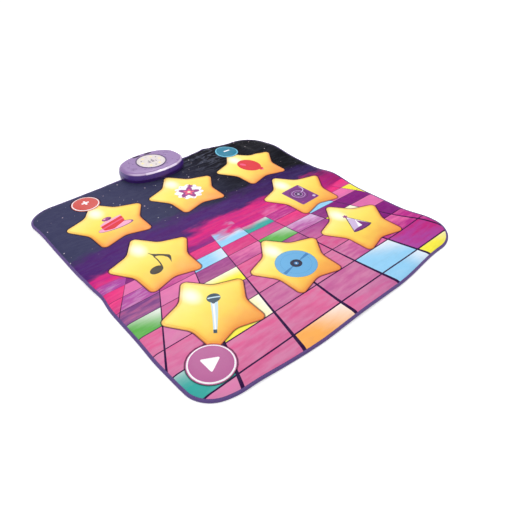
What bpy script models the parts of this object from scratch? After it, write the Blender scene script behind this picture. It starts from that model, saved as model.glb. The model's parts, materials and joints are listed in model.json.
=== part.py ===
"""Electronic dance mat: a padded floor mat with eight star pads and three round pads,
and a small battery-powered control unit that is fixed over the middle of its rear edge.

Metres, +Z up. +Y points to the control unit, +X to the right of a player who faces it.
The origin is on the underside of the mat, below the middle of the grid of pads.
"""
import math

import bmesh
import bpy
from mathutils import Vector
from mathutils.geometry import delaunay_2d_cdt

# The mat, measured from the middle of the grid of pads
MAT_WIDTH = 0.846
MAT_FRONT = 0.455
MAT_REAR = 0.428
MAT_CORNER = 0.083
BINDING_WIDTH = 0.006
BINDING_THICKNESS = 0.001

# Layers of the mat, from the floor up
BACKING = 0.0010
BASE_FOAM = 0.0024
SENSOR_FILM = 0.0004
SPACER_FOAM = 0.0014
COVER = 0.0009

# Pads
COLUMN_PITCH = 0.2545
ROW_PITCH = 0.230
STAR_TIP = 0.116
STAR_VALLEY = 0.081
STAR_TIP_ROUND = 0.013
STAR_VALLEY_ROUND = 0.045
START_RADIUS = 0.051
START_FROM_LEFT, START_FROM_FRONT = 0.071, 0.104
VOLUME_RADIUS = 0.0405
VOLUME_PAST_COLUMN, VOLUME_FROM_REAR = 0.009, 0.062
PAD_RIM = 0.0005
PAD_CROWN = 0.0040
PAD_FLANGE = 0.0008
FLANGE_LAP = 0.0026
CONTACT_CLEARANCE = 0.0001

# Control unit: half widths of its rounded outline, and heights above the mat
UNIT_FROM_EDGE = 0.001
UNIT_SQUARENESS = 2.4
WAIST_A, WAIST_B, WAIST_RISE = 0.1080, 0.0755, 0.0100
SHOULDER_A, SHOULDER_B, SHOULDER_RISE = 0.1048, 0.0722, 0.0240
RIM_A, RIM_B, RIM_RISE = 0.0998, 0.0677, 0.0283
PLATEAU_A, PLATEAU_B, PLATEAU_RISE = 0.0948, 0.0637, 0.0300
FOOT_A, FOOT_B = 0.1065, 0.0740
UNIT_BASE = 0.0023
CASING_WALL = 0.0020
THIN_FLOOR = 0.0018
TRIM_HALF_LENGTH = 0.0580
TRIM_THICKNESS = 0.0012

# Disc in the top of the unit
DISC_RADIUS = 0.0460
DISC_RING = 0.0045
DISC_RECESS = 0.0012
DISC_RISE = 0.0004

# Slide switches
SWITCH_X, SWITCH_FROM_RIM = 0.021, 0.0080
SWITCH_RECESS = (0.026, 0.008, 0.0010)
SWITCH_TRAVEL = 0.008
KNOB_LENGTH, KNOB_WIDTH, KNOB_RISE = 0.006, 0.004, 0.0008
SWITCH_BODY = (0.0200, 0.0070, 0.0060)
SWITCH_GROOVE = 0.0015

# Speaker, below the grille at the left of the disc
SPEAKER_FROM_RIM, SPEAKER_FORWARD = 0.0225, 0.014
SPEAKER_RADIUS, SPEAKER_DEPTH = 0.016, 0.0100
SPEAKER_RIM, SPEAKER_FLANGE = 0.0015, 0.0025
MAGNET_RADIUS = 0.0088
CONE_BACK = 0.0070
GRILLE_RADIUS = 0.0009
GRILLE_PITCH = 0.0042

# Circuit board
BOARD_LENGTH, BOARD_WIDTH, BOARD_THICKNESS = 0.092, 0.044, 0.0016
BOARD_FORWARD = 0.038
BOARD_POST, BOARD_LIFT = 0.0020, 0.0023
CHIP_RADIUS, CHIP_HEIGHT = 0.006, 0.0018
PLUG_SIZE, PLUG_X = (0.016, 0.006, 0.0040), 0.023

# Batteries
CELL_RADIUS, CELL_LENGTH = 0.00715, 0.0485
CELL_NUB_RADIUS, CELL_NUB = 0.0027, 0.0015
CELL_COUNT = 3
BAY_WALL = 0.0077
CONTACT, CONTACT_HEIGHT = 0.0008, 0.0100
DOOR_THICKNESS, DOOR_LEDGE = 0.0015, 0.0035
DOOR_SCREW_RADIUS, DOOR_SCREW_HEAD, DOOR_SCREW_BITE = 0.0012, 0.0008, 0.003

# Screws, feet and sensor ribbon
SCREW_RADIUS, SCREW_BITE, BOSS_WALL = 0.0014, 0.0060, 0.0020
SCREW_HEAD_RADIUS, SCREW_HEAD = 0.0032, 0.0018
MAT_SCREW_X, MAT_SCREW_FROM_EDGE = 0.060, 0.043
MAT_SCREW_HEAD_RADIUS, MAT_SCREW_HEAD = 0.0050, 0.0006
REAR_SCREW_X, REAR_SCREW_BACK = 0.087, 0.018
FOOT_RADIUS, FOOT_X, FOOT_BACK = 0.006, 0.060, 0.051
FOOT_PEG_RADIUS, FOOT_PEG = 0.0020, 0.0013
RIBBON_WIDTH, RIBBON_THICKNESS, RIBBON_FROM_EDGE = 0.020, 0.0004, 0.028

# Clearances
GAP = 0.0003
WINDOW_GAP = 0.0004
OVERRUN = 0.010


def stack_levels():
    """Lowest and highest Z of each layer, laid one on the next with a gap between them."""
    levels = {}
    low = 0.0
    for layer, thickness in (
        ("backing", BACKING),
        ("base_foam", BASE_FOAM),
        ("lower_film", SENSOR_FILM),
        ("spacer", SPACER_FOAM),
        ("upper_film", SENSOR_FILM),
        ("cover", COVER),
    ):
        levels[layer] = (low, low + thickness)
        low += thickness + GAP
    return levels


# Heights that follow from the sizes above
LEVELS = stack_levels()
MAT_TOP = LEVELS["cover"][1]
BINDING_TOP = MAT_TOP + GAP + BINDING_THICKNESS
FLANGE_TOP = LEVELS["cover"][0] - GAP
FLANGE_BOTTOM = FLANGE_TOP - PAD_FLANGE
PAD_TRAVEL = FLANGE_BOTTOM - LEVELS["lower_film"][1] - CONTACT_CLEARANCE
WAIST_Z = MAT_TOP + WAIST_RISE
SHOULDER_Z = MAT_TOP + SHOULDER_RISE
RIM_Z = MAT_TOP + RIM_RISE
PLATEAU_Z = MAT_TOP + PLATEAU_RISE
INNER_TOP = PLATEAU_Z - CASING_WALL
FRONT_FLOOR = BINDING_TOP + GAP + THIN_FLOOR
BOARD_Z = FRONT_FLOOR + BOARD_LIFT
SCREW_TIP = FRONT_FLOOR + SCREW_BITE
PARTING_Z = WAIST_Z - GAP / 2
DOOR_TOP = UNIT_BASE + DOOR_THICKNESS

# Places that follow from the sizes above
FOLD_Y = (STAR_TIP - ROW_PITCH - STAR_TIP * math.cos(math.radians(36))) / 2
FOLD_Z = MAT_TOP + PAD_RIM + PAD_CROWN
START_X = START_FROM_LEFT - MAT_WIDTH / 2
START_Y = START_FROM_FRONT - MAT_FRONT
VOLUME_X = COLUMN_PITCH + VOLUME_PAST_COLUMN
VOLUME_Y = MAT_REAR - VOLUME_FROM_REAR
UNIT_Y = MAT_REAR - UNIT_FROM_EDGE
NOTCH_Y = MAT_REAR + GAP
SWITCH_Y = UNIT_Y + PLATEAU_B - SWITCH_FROM_RIM
SPEAKER_X = SPEAKER_FROM_RIM - PLATEAU_A
SPEAKER_Y = UNIT_Y - SPEAKER_FORWARD
BOARD_Y = UNIT_Y - BOARD_FORWARD
MAT_SCREW_Y = MAT_REAR - MAT_SCREW_FROM_EDGE
REAR_SCREW_Y = UNIT_Y + REAR_SCREW_BACK
FOOT_Y = UNIT_Y + FOOT_BACK
RIBBON_Y = MAT_REAR - RIBBON_FROM_EDGE
BAY_Y0 = NOTCH_Y + BAY_WALL
BAY_Y1 = BAY_Y0 + CELL_COUNT * 2 * CELL_RADIUS + (CELL_COUNT + 1) * GAP
BAY_X = (CELL_LENGTH + CELL_NUB) / 2 + CONTACT + 2 * GAP
DOOR_X = BAY_X + DOOR_LEDGE
DOOR_Y0 = BAY_Y0 - DOOR_LEDGE - 2 * DOOR_SCREW_RADIUS
DOOR_Y1 = BAY_Y1 + DOOR_LEDGE
DOOR_SCREW_Y = (DOOR_Y0 + BAY_Y0) / 2
SIDES = (("left", -1), ("right", 1))


def finish(name, colour, roughness, metallic=0.0):
    """A plain surface finish."""
    surface = bpy.data.materials.new(name)
    surface.use_nodes = True
    shader = surface.node_tree.nodes["Principled BSDF"]
    shader.inputs["Base Color"].default_value = (*colour, 1.0)
    shader.inputs["Roughness"].default_value = roughness
    shader.inputs["Metallic"].default_value = metallic
    surface.diffuse_color = (*colour, 1.0)
    return surface


def add_object(name, bm, surface, origin=(0, 0, 0), parent=None):
    """Make an object of a mesh given in world coordinates, with its origin where it is wanted."""
    bmesh.ops.recalc_face_normals(bm, faces=bm.faces)
    bmesh.ops.translate(bm, verts=bm.verts, vec=-Vector(origin))
    mesh = bpy.data.meshes.new(name)
    bm.to_mesh(mesh)
    bm.free()
    obj = bpy.data.objects.new(name, mesh)
    bpy.context.scene.collection.objects.link(obj)
    if surface is not None:
        mesh.materials.append(surface)
    obj.parent = parent
    obj.location = Vector(origin) - (parent.location if parent else Vector())
    return obj


def shade(obj, degrees=40):
    """Shade a round piece smooth and keep its sharp edges."""
    obj.data.shade_smooth()
    obj.data.set_sharp_from_angle(angle=math.radians(degrees))
    return obj


def combine(target, name, bm, operation):
    """Cut a shape from a target, or join it to the target."""
    tool = add_object(name, bm, None, parent=target.parent)
    tool.hide_render = True
    tool.display_type = "WIRE"
    modifier = target.modifiers.new(name, "BOOLEAN")
    modifier.operation = operation
    modifier.solver = "EXACT"
    modifier.object = tool


def cut(target, name, bm):
    """Cut a shape from a target."""
    combine(target, f"{target.name}_{name}_cutter", bm, "DIFFERENCE")


def join(target, name, bm):
    """Join a shape to a target."""
    combine(target, f"{target.name}_{name}_piece", bm, "UNION")


def inside(x, y, loop):
    """Whether a point is inside an outline: a ray from it then crosses the outline an odd number of times."""
    crossings = 0
    for (ax, ay), (bx, by) in zip(loop, loop[1:] + loop[:1]):
        if (ay > y) != (by > y) and x < ax + (y - ay) * (bx - ax) / (by - ay):
            crossings += 1
    return crossings % 2 == 1


def plate(loops, low, high):
    """A flat plate: the first loop is its outline, and the others are holes, which may run together."""
    points, edges = [], []
    for loop in loops:
        first = len(points)
        points += [Vector(corner) for corner in loop]
        edges += [(first + i, first + (i + 1) % len(loop)) for i in range(len(loop))]
    corners, _, triangles, *_ = delaunay_2d_cdt(points, edges, [], 1, 1e-6)
    bm = bmesh.new()
    made = {}
    for triangle in triangles:
        x = sum(corners[i].x for i in triangle) / 3
        y = sum(corners[i].y for i in triangle) / 3
        if inside(x, y, loops[0]) and not any(inside(x, y, hole) for hole in loops[1:]):
            for i in triangle:
                if i not in made:
                    made[i] = bm.verts.new((corners[i].x, corners[i].y, low))
            bm.faces.new([made[i] for i in triangle])
    raised = bmesh.ops.extrude_face_region(bm, geom=bm.faces[:])["geom"]
    top = [item for item in raised if isinstance(item, bmesh.types.BMVert)]
    bmesh.ops.translate(bm, verts=top, vec=(0, 0, high - low))
    return bm


def loft(rings, close_ends=True, close_loop=False):
    """A surface through rings of equally many points, with its ends capped or joined."""
    bm = bmesh.new()
    rows = [[bm.verts.new(point) for point in ring] for ring in rings]
    pairs = list(zip(rows, rows[1:]))
    if close_loop:
        pairs.append((rows[-1], rows[0]))
    for lower, upper in pairs:
        for i in range(len(lower)):
            j = (i + 1) % len(lower)
            bm.faces.new((lower[i], lower[j], upper[j], upper[i]))
    if close_ends and not close_loop:
        bm.faces.new(rows[0][::-1])
        bm.faces.new(rows[-1])
    return bm


def box(low, high):
    """A box between two corners."""
    x0, y0, z0 = low
    x1, y1, z1 = high
    corners = ((x0, y0), (x1, y0), (x1, y1), (x0, y1))
    return loft([[(x, y, z) for x, y in corners] for z in (z0, z1)])


def centred_box(centre, size, low, high):
    """A box round a point of the XY plane, between two heights."""
    x, y = centre
    return box((x - size[0] / 2, y - size[1] / 2, low), (x + size[0] / 2, y + size[1] / 2, high))


def symmetric_box(x, y0, y1, low, high):
    """A box from -x to x."""
    return box((-x, y0, low), (x, y1, high))


def circle(x, y, radius, count=24):
    """Points round a circle."""
    turns = [2 * math.pi * i / count for i in range(count)]
    return [(x + radius * math.cos(a), y + radius * math.sin(a)) for a in turns]


def turned(x, y, profile, count=24):
    """A turned solid on a vertical axis, from a profile of (radius, z), capped at both ends."""
    return loft([[(px, py, z) for px, py in circle(x, y, radius, count)] for radius, z in profile])


def post(x, y, radius, low, high, count=12):
    """A plain round post, or the cutter for a round hole."""
    return turned(x, y, [(radius, low), (radius, high)], count)


def star(x, y, grow=0.0, tip_steps=3, valley_steps=2):
    """Outline of a five-pointed star whose tips and valleys are arcs, grown by an offset.

    A tip arc and the next valley arc share a straight tangent. Its normal makes the same
    angle with the tip's own direction however far the outline is grown.
    """
    tip_centre = STAR_TIP - STAR_TIP_ROUND
    valley_centre = STAR_VALLEY + STAR_VALLEY_ROUND
    step = math.radians(36)
    across = valley_centre * math.sin(step)
    along = valley_centre * math.cos(step) - tip_centre
    reach = math.hypot(along, across)
    lean = math.acos((STAR_TIP_ROUND + STAR_VALLEY_ROUND) / reach)
    swing = math.atan2(across, along) - lean
    points = []
    for k in range(5):
        tip = math.radians(90 + 72 * k)
        for i in range(tip_steps + 1):
            turn = tip + swing * (2 * i / tip_steps - 1)
            points.append((
                x + tip_centre * math.cos(tip) + (STAR_TIP_ROUND + grow) * math.cos(turn),
                y + tip_centre * math.sin(tip) + (STAR_TIP_ROUND + grow) * math.sin(turn),
            ))
        valley = tip + step
        bend = step - swing
        for i in range(valley_steps + 1):
            turn = valley + math.pi + bend * (2 * i / valley_steps - 1)
            points.append((
                x + valley_centre * math.cos(valley) + (STAR_VALLEY_ROUND - grow) * math.cos(turn),
                y + valley_centre * math.sin(valley) + (STAR_VALLEY_ROUND - grow) * math.sin(turn),
            ))
    return points


def edge_path(inset, rear, steps=8):
    """The mat's edge from the fold round two corners and back to the fold, set in by an inset."""
    half = MAT_WIDTH / 2 - inset
    end = (MAT_REAR if rear else MAT_FRONT) - inset
    radius = MAT_CORNER - inset
    side = 1 if rear else -1
    start = FOLD_Y + side * GAP / 2
    points = [(half, start)]
    for x, first in ((1, 0), (-1, 90)):
        for i in range(steps + 1):
            turn = math.radians(first + 90 * i / steps)
            points.append((
                x * (half - radius) + radius * math.cos(turn),
                side * (end - radius + radius * math.sin(turn)),
            ))
    points.append((-half, start))
    return points


def superellipse(a, b, z, turns):
    """Points of the control unit's rounded outline at the given turns."""
    power = 2 / UNIT_SQUARENESS
    points = []
    for turn in turns:
        c, s = math.cos(turn), math.sin(turn)
        points.append((
            a * math.copysign(abs(c) ** power, c),
            UNIT_Y + b * math.copysign(abs(s) ** power, s),
            z,
        ))
    return points


def unit_ring(a, b, z, count=44):
    """A whole outline of the control unit."""
    return superellipse(a, b, z, [2 * math.pi * (i + 0.5) / count for i in range(count)])


def star_places():
    """Name and centre of each star: a grid of three by three without its middle."""
    places = []
    for row, y in (("rear", ROW_PITCH), ("middle", 0.0), ("front", -ROW_PITCH)):
        for column, x in (("left", -COLUMN_PITCH), ("centre", 0.0), ("right", COLUMN_PITCH)):
            if (row, column) != ("middle", "centre"):
                places.append((f"star_pad_{row}_{column}", x, y))
    return places


def disc_places():
    """Name, centre and radius of each round pad."""
    return [
        ("start_pad", START_X, START_Y, START_RADIUS),
        ("volume_up_pad", -VOLUME_X, VOLUME_Y, VOLUME_RADIUS),
        ("volume_down_pad", VOLUME_X, VOLUME_Y, VOLUME_RADIUS),
    ]


def screw_holes(radius):
    """Holes for the two screws that go through the mat into the unit."""
    return [circle(x, MAT_SCREW_Y, radius, 12) for x in (-MAT_SCREW_X, MAT_SCREW_X)]


def ribbon_slot():
    """The slot that the sensor ribbon comes up through."""
    half = RIBBON_WIDTH / 2 + GAP
    deep = RIBBON_THICKNESS / 2 + GAP
    return [(-half, RIBBON_Y - deep), (half, RIBBON_Y - deep),
            (half, RIBBON_Y + deep), (-half, RIBBON_Y + deep)]


def window_loops(grow, rear, valley_steps):
    """Outlines of the windows or pockets for the pads on one side of the fold."""
    stars = [star(x, y, grow, 3, valley_steps) for _, x, y in star_places() if (y > FOLD_Y) == rear]
    discs = [circle(x, y, r + grow, 32) for _, x, y, r in disc_places() if (y > FOLD_Y) == rear]
    return stars + discs


def build_mat_layers(surfaces, fold):
    """The flat layers of the mat, each in a rear and a front piece that meet at the fold."""
    edge = BINDING_THICKNESS + GAP
    pocket = WINDOW_GAP + FLANGE_LAP + GAP
    shank = SCREW_RADIUS + GAP
    head = MAT_SCREW_HEAD_RADIUS + GAP
    layers = (
        ("backing_sheet", "backing", BINDING_WIDTH + GAP, None, head),
        ("base_foam", "base_foam", edge, None, shank),
        ("lower_sensor_film", "lower_film", edge, None, shank),
        ("spacer_foam", "spacer", edge, pocket, shank),
        ("upper_sensor_film", "upper_film", edge, pocket, shank),
        ("printed_cover", "cover", edge, WINDOW_GAP, shank),
    )
    for name, layer, inset, window, screw_hole in layers:
        for rear in (True, False):
            loops = [edge_path(inset, rear)]
            if window is not None:
                loops += window_loops(window, rear, 2 if layer == "cover" else 1)
            if rear:
                loops += screw_holes(screw_hole)
            if rear and window is not None:
                loops.append(ribbon_slot())
            add_object(
                name if rear else f"{name}_front",
                plate(loops, *LEVELS[layer]),
                surfaces[layer],
                parent=None if rear else fold,
            )


def build_binding(surface, fold):
    """The fabric binding: a U-shaped strip round the edge, open towards the mat."""
    thick, wide = BINDING_THICKNESS, BINDING_WIDTH
    lip = BINDING_TOP - thick
    section = (
        (0.0, 0.0), (wide, 0.0), (wide, thick), (thick, thick),
        (thick, lip), (wide, lip), (wide, BINDING_TOP), (0.0, BINDING_TOP),
    )
    for rear in (True, False):
        paths = [(edge_path(inset, rear), z) for inset, z in section]
        rings = [[(*path[i], z) for path, z in paths] for i in range(len(paths[0][0]))]
        add_object("edge_binding" if rear else "edge_binding_front", loft(rings), surface,
                   parent=None if rear else fold)


def pad_solid(outline, flange, centre):
    """A pad: a thin flange that lies under the cover, and a low dome that stands above it."""
    x, y = centre
    shrink = [
        [(x + (px - x) * s, y + (py - y) * s, MAT_TOP + PAD_RIM + rise) for px, py in outline]
        for s, rise in ((1.0, 0.0), (0.93, 0.45 * PAD_CROWN), (0.62, 0.85 * PAD_CROWN))
    ]
    bm = loft(
        [
            [(px, py, FLANGE_BOTTOM) for px, py in flange],
            [(px, py, FLANGE_TOP) for px, py in flange],
            [(px, py, FLANGE_TOP) for px, py in outline],
        ]
        + shrink
    )
    crown = max(bm.faces, key=lambda face: face.calc_center_median().z)
    bmesh.ops.poke(bm, faces=[crown], offset=0.15 * PAD_CROWN)
    return bm


def build_pads(surfaces, fold):
    """Eight star pads and three round ones. A round pad bites into the star tip that it covers,
    and has no flange in that star's window, so that each of the two can be pressed alone."""
    lap = WINDOW_GAP + FLANGE_LAP
    low = FLANGE_BOTTOM - OVERRUN
    for name, x, y in star_places():
        parent = fold if y < FOLD_Y else None
        solid = pad_solid(star(x, y), star(x, y, lap), (x, y))
        pad = shade(add_object(name, solid, surfaces["star"], (x, y, MAT_TOP), parent))
        for disc, dx, dy, radius in disc_places():
            if math.hypot(dx - x, dy - y) < radius + lap + STAR_TIP:
                cut(pad, disc, post(dx, dy, radius + WINDOW_GAP, low, FOLD_Z + OVERRUN, 32))
    for name, x, y, radius in disc_places():
        parent = fold if y < FOLD_Y else None
        solid = pad_solid(circle(x, y, radius, 32), circle(x, y, radius + lap, 32), (x, y))
        pad = shade(add_object(name, solid, surfaces[name], (x, y, MAT_TOP), parent))
        for tip, sx, sy in star_places():
            if math.hypot(sx - x, sy - y) < radius + lap + STAR_TIP:
                kept = circle(x, y, radius + WINDOW_GAP - GAP, 32)
                cut(pad, tip, plate([star(sx, sy, lap + GAP), kept], low, MAT_TOP))


def trim_band(grow):
    """The front trim on the bevel, or with some growth the recess for it, swept round the front."""
    outer = grow + OVERRUN if grow else 0.0
    inner = TRIM_THICKNESS + grow
    low, high = SHOULDER_Z - grow, RIM_Z + grow
    section = (
        (SHOULDER_A + outer, SHOULDER_B + outer, low), (RIM_A + outer, RIM_B + outer, high),
        (RIM_A - inner, RIM_B - inner, high), (SHOULDER_A - inner, SHOULDER_B - inner, low),
    )
    steps = 14
    reach = (TRIM_HALF_LENGTH / SHOULDER_A) ** (UNIT_SQUARENESS / 2)
    half = math.asin(reach) + 2 * grow / SHOULDER_B
    turns = [-math.pi / 2 + half * (2 * i / steps - 1) for i in range(steps + 1)]
    sides = [superellipse(a, b, z, turns) for a, b, z in section]
    return loft([[side[i] for side in sides] for i in range(len(turns))])


def cut_switch(casing, side, x):
    """The shallow recess round a switch, and the slot that its knob slides in."""
    length, width, depth = SWITCH_RECESS
    recess = centred_box((x, SWITCH_Y), (length, width), PLATEAU_Z - depth, PLATEAU_Z + OVERRUN)
    cut(casing, f"{side}_switch_recess", recess)
    size = (SWITCH_TRAVEL + KNOB_LENGTH + 2 * GAP, KNOB_WIDTH + 2 * GAP)
    slot = centred_box((x, SWITCH_Y), size, INNER_TOP - OVERRUN, PLATEAU_Z)
    cut(casing, f"{side}_switch_slot", slot)


def build_upper_casing(surface):
    """The upper casing: a bevelled shell with the disc recess, switch slots, grille and bosses."""
    wall = CASING_WALL
    low = PARTING_Z + GAP
    casing = add_object("upper_casing", loft([
        unit_ring(PLATEAU_A - wall, PLATEAU_B - wall, INNER_TOP),
        unit_ring(SHOULDER_A - wall, SHOULDER_B - wall, SHOULDER_Z - wall / 2),
        unit_ring(WAIST_A - wall, WAIST_B - wall, low),
        unit_ring(WAIST_A, WAIST_B, low),
        unit_ring(SHOULDER_A, SHOULDER_B, SHOULDER_Z),
        unit_ring(RIM_A, RIM_B, RIM_Z),
        unit_ring(PLATEAU_A, PLATEAU_B, PLATEAU_Z),
    ]), surface, (0, UNIT_Y, 0))
    hole = SCREW_RADIUS + GAP
    boss_low = FRONT_FLOOR + GAP
    for side, sign in SIDES:
        for end, x, y in (("front", MAT_SCREW_X, MAT_SCREW_Y), ("rear", REAR_SCREW_X, REAR_SCREW_Y)):
            boss = post(sign * x, y, hole + BOSS_WALL, boss_low, INNER_TOP + wall / 2, 16)
            join(casing, f"{end}_{side}_boss", boss)
            pilot = post(sign * x, y, hole, boss_low - OVERRUN, SCREW_TIP + GAP)
            cut(casing, f"{end}_{side}_pilot", pilot)
        cut_switch(casing, side, sign * SWITCH_X)
    ring = DISC_RADIUS + DISC_RING
    cut(casing, "disc_recess", post(0, UNIT_Y, ring, PLATEAU_Z - DISC_RECESS, PLATEAU_Z + OVERRUN, 48))
    cut(casing, "trim_recess", trim_band(GAP))
    for i, (x, y) in enumerate(grille_places()):
        sound_hole = post(x, y, GRILLE_RADIUS, INNER_TOP - OVERRUN, PLATEAU_Z + OVERRUN, 6)
        cut(casing, f"grille_{i}", sound_hole)
    return shade(casing, 35)


def grille_places():
    """Sound holes over the speaker: one in the middle and two rings of six and twelve round it."""
    places = [(SPEAKER_X, SPEAKER_Y)]
    for ring in (1, 2):
        places += circle(SPEAKER_X, SPEAKER_Y, ring * GRILLE_PITCH, 6 * ring)
    return places


def cut_battery_bay(casing):
    """The battery bay, the recess for its door, and the hole for the door's screw."""
    bay = symmetric_box(BAY_X, BAY_Y0, BAY_Y1, UNIT_BASE - OVERRUN, WAIST_Z + OVERRUN)
    cut(casing, "battery_bay", bay)
    recess = symmetric_box(DOOR_X + GAP, DOOR_Y0 - GAP, DOOR_Y1 + GAP, UNIT_BASE - OVERRUN, DOOR_TOP + GAP)
    cut(casing, "door_recess", recess)
    depth = DOOR_TOP + DOOR_SCREW_BITE + GAP
    cut(casing, "door_screw", post(0, DOOR_SCREW_Y, DOOR_SCREW_RADIUS + 2 * GAP, 0, depth))


def cut_lower_side(casing, side, sign):
    """What the left and right of the lower casing share: a hollow, screw holes and a foot's hole."""
    near = DOOR_X + GAP + CASING_WALL
    far = REAR_SCREW_X - SCREW_HEAD_RADIUS - 2 * CASING_WALL
    back = FOOT_Y - FOOT_PEG_RADIUS - 2 * CASING_WALL
    x0, x1 = sorted((sign * near, sign * far))
    floor = UNIT_BASE + CASING_WALL
    hollow = box((x0, NOTCH_Y + CASING_WALL, floor), (x1, back, WAIST_Z + OVERRUN))
    cut(casing, f"{side}_hollow", hollow)
    shank = SCREW_RADIUS + GAP
    top = WAIST_Z + OVERRUN
    cut(casing, f"{side}_mat_screw", post(sign * MAT_SCREW_X, MAT_SCREW_Y, shank, 0, top))
    sunk = UNIT_BASE + SCREW_HEAD + 2 * GAP
    cut(casing, f"{side}_rear_screw", turned(sign * REAR_SCREW_X, REAR_SCREW_Y, [
        (SCREW_HEAD_RADIUS + GAP, UNIT_BASE - OVERRUN), (SCREW_HEAD_RADIUS + GAP, sunk),
        (shank, sunk), (shank, top),
    ], 12))
    depth = UNIT_BASE + FOOT_PEG + GAP
    cut(casing, f"{side}_peg", post(sign * FOOT_X, FOOT_Y, FOOT_PEG_RADIUS + GAP, 0, depth))


def build_lower_casing(surface):
    """The lower casing: its front half lies on the mat, its rear half reaches down behind it."""
    casing = add_object("lower_casing", loft([
        unit_ring(FOOT_A, FOOT_B, UNIT_BASE),
        unit_ring(WAIST_A, WAIST_B, PARTING_Z),
    ]), surface, (0, UNIT_Y, 0))
    reach = MAT_WIDTH / 2
    cut(casing, "mat_notch", symmetric_box(reach, 0, NOTCH_Y, -OVERRUN, MAT_TOP + GAP))
    lip_y = MAT_REAR - BINDING_WIDTH - GAP
    cut(casing, "binding_channel", symmetric_box(reach, lip_y, NOTCH_Y, 0, BINDING_TOP + GAP))
    inner_a, inner_b = WAIST_A - CASING_WALL, WAIST_B - CASING_WALL
    cut(casing, "inside", loft([
        unit_ring(inner_a, inner_b, FRONT_FLOOR),
        unit_ring(inner_a, inner_b, WAIST_Z + OVERRUN),
    ]))
    cut_battery_bay(casing)
    for side, sign in SIDES:
        cut_lower_side(casing, side, sign)
    slot = (RIBBON_WIDTH + 2 * GAP, RIBBON_THICKNESS + 2 * GAP)
    cut(casing, "ribbon", centred_box((0, RIBBON_Y), slot, 0, WAIST_Z + OVERRUN))
    for i, (x, y) in enumerate(board_posts()):
        join(casing, f"post_{i}", post(x, y, BOARD_POST, FRONT_FLOOR - GAP, BOARD_Z - GAP))
    return shade(casing, 35)


def board_posts():
    """The four posts under the corners of the circuit board."""
    x = BOARD_LENGTH / 2 - 2 * BOARD_POST
    y = BOARD_WIDTH / 2 - 2 * BOARD_POST
    return [(-x, BOARD_Y - y), (x, BOARD_Y - y), (-x, BOARD_Y + y), (x, BOARD_Y + y)]


def build_unit_top(surfaces):
    """The round disc and the front trim, the two pieces set into the upper casing."""
    base = PLATEAU_Z - DISC_RECESS + GAP
    top = PLATEAU_Z + DISC_RISE
    disc = turned(0, UNIT_Y, [
        (DISC_RADIUS, base), (DISC_RADIUS, top - DISC_RISE), (DISC_RADIUS - 2 * DISC_RISE, top),
    ], 48)
    shade(add_object("top_disc", disc, surfaces["disc"], (0, UNIT_Y, 0)))
    shade(add_object("front_trim", trim_band(0.0), surfaces["trim"], (0, UNIT_Y, 0)))


def build_switches(surfaces):
    """Two slide switches: a body under the top of the casing and a knob that stands through it."""
    length, width, height = SWITCH_BODY
    top = INNER_TOP - GAP
    groove = (SWITCH_TRAVEL + KNOB_LENGTH + 2 * GAP, KNOB_WIDTH + 2 * GAP)
    floor = top - SWITCH_GROOVE
    for name, x in (("power_switch", -SWITCH_X), ("volume_switch", SWITCH_X)):
        block = centred_box((x, SWITCH_Y), (length, width), top - height, top)
        body = add_object(f"{name}_body", block, surfaces["black"], (x, SWITCH_Y, top))
        cut(body, "groove", centred_box((x, SWITCH_Y), groove, floor, top + OVERRUN))
        start = (x - SWITCH_TRAVEL / 2, SWITCH_Y)
        knob = centred_box(start, (KNOB_LENGTH, KNOB_WIDTH), floor + GAP, PLATEAU_Z + KNOB_RISE)
        add_object(f"{name}_knob", knob, surfaces["black"], (*start, floor))


def build_speaker(surfaces):
    """The speaker: a basket with its magnet, and the cone inside it."""
    top = INNER_TOP - GAP
    back = top - CONE_BACK
    opening = SPEAKER_RADIUS - SPEAKER_FLANGE
    neck = MAGNET_RADIUS - SPEAKER_RIM
    basket = turned(SPEAKER_X, SPEAKER_Y, [
        (neck, back), (opening, top - SPEAKER_RIM), (opening, top),
        (SPEAKER_RADIUS, top), (SPEAKER_RADIUS, top - SPEAKER_RIM),
        (MAGNET_RADIUS, back - SPEAKER_RIM), (MAGNET_RADIUS, top - SPEAKER_DEPTH),
    ])
    shade(add_object("speaker_basket", basket, surfaces["steel"], (SPEAKER_X, SPEAKER_Y, 0)))
    edge = opening - GAP
    throat = neck - 2 * GAP
    cone = turned(SPEAKER_X, SPEAKER_Y, [
        (throat, back + 2 * GAP), (edge, top - SPEAKER_RIM + 2 * GAP),
        (edge, top - GAP), (throat, back + 5 * GAP),
    ])
    shade(add_object("speaker_cone", cone, surfaces["black"], (SPEAKER_X, SPEAKER_Y, 0)))


def build_board(surfaces):
    """The circuit board with its covered chip and the ribbon's plug, and the sensor ribbon."""
    top = BOARD_Z + BOARD_THICKNESS
    slab = centred_box((0, BOARD_Y), (BOARD_LENGTH, BOARD_WIDTH), BOARD_Z, top)
    board = add_object("circuit_board", slab, surfaces["board"], (0, BOARD_Y, BOARD_Z))
    join(board, "chip", turned(-PLUG_X, BOARD_Y, [
        (CHIP_RADIUS, top - GAP), (CHIP_RADIUS, top + CHIP_HEIGHT / 2),
        (CHIP_RADIUS / 2, top + CHIP_HEIGHT),
    ], 16))
    length, width, height = PLUG_SIZE
    join(board, "plug", centred_box((PLUG_X, BOARD_Y), (length, width), top - GAP, top + height))
    size = (RIBBON_WIDTH, RIBBON_THICKNESS)
    ribbon = centred_box((0, RIBBON_Y), size, LEVELS["lower_film"][1] + GAP, BOARD_Z - GAP)
    add_object("sensor_ribbon", ribbon, surfaces["lower_film"], (0, RIBBON_Y, 0))


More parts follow.
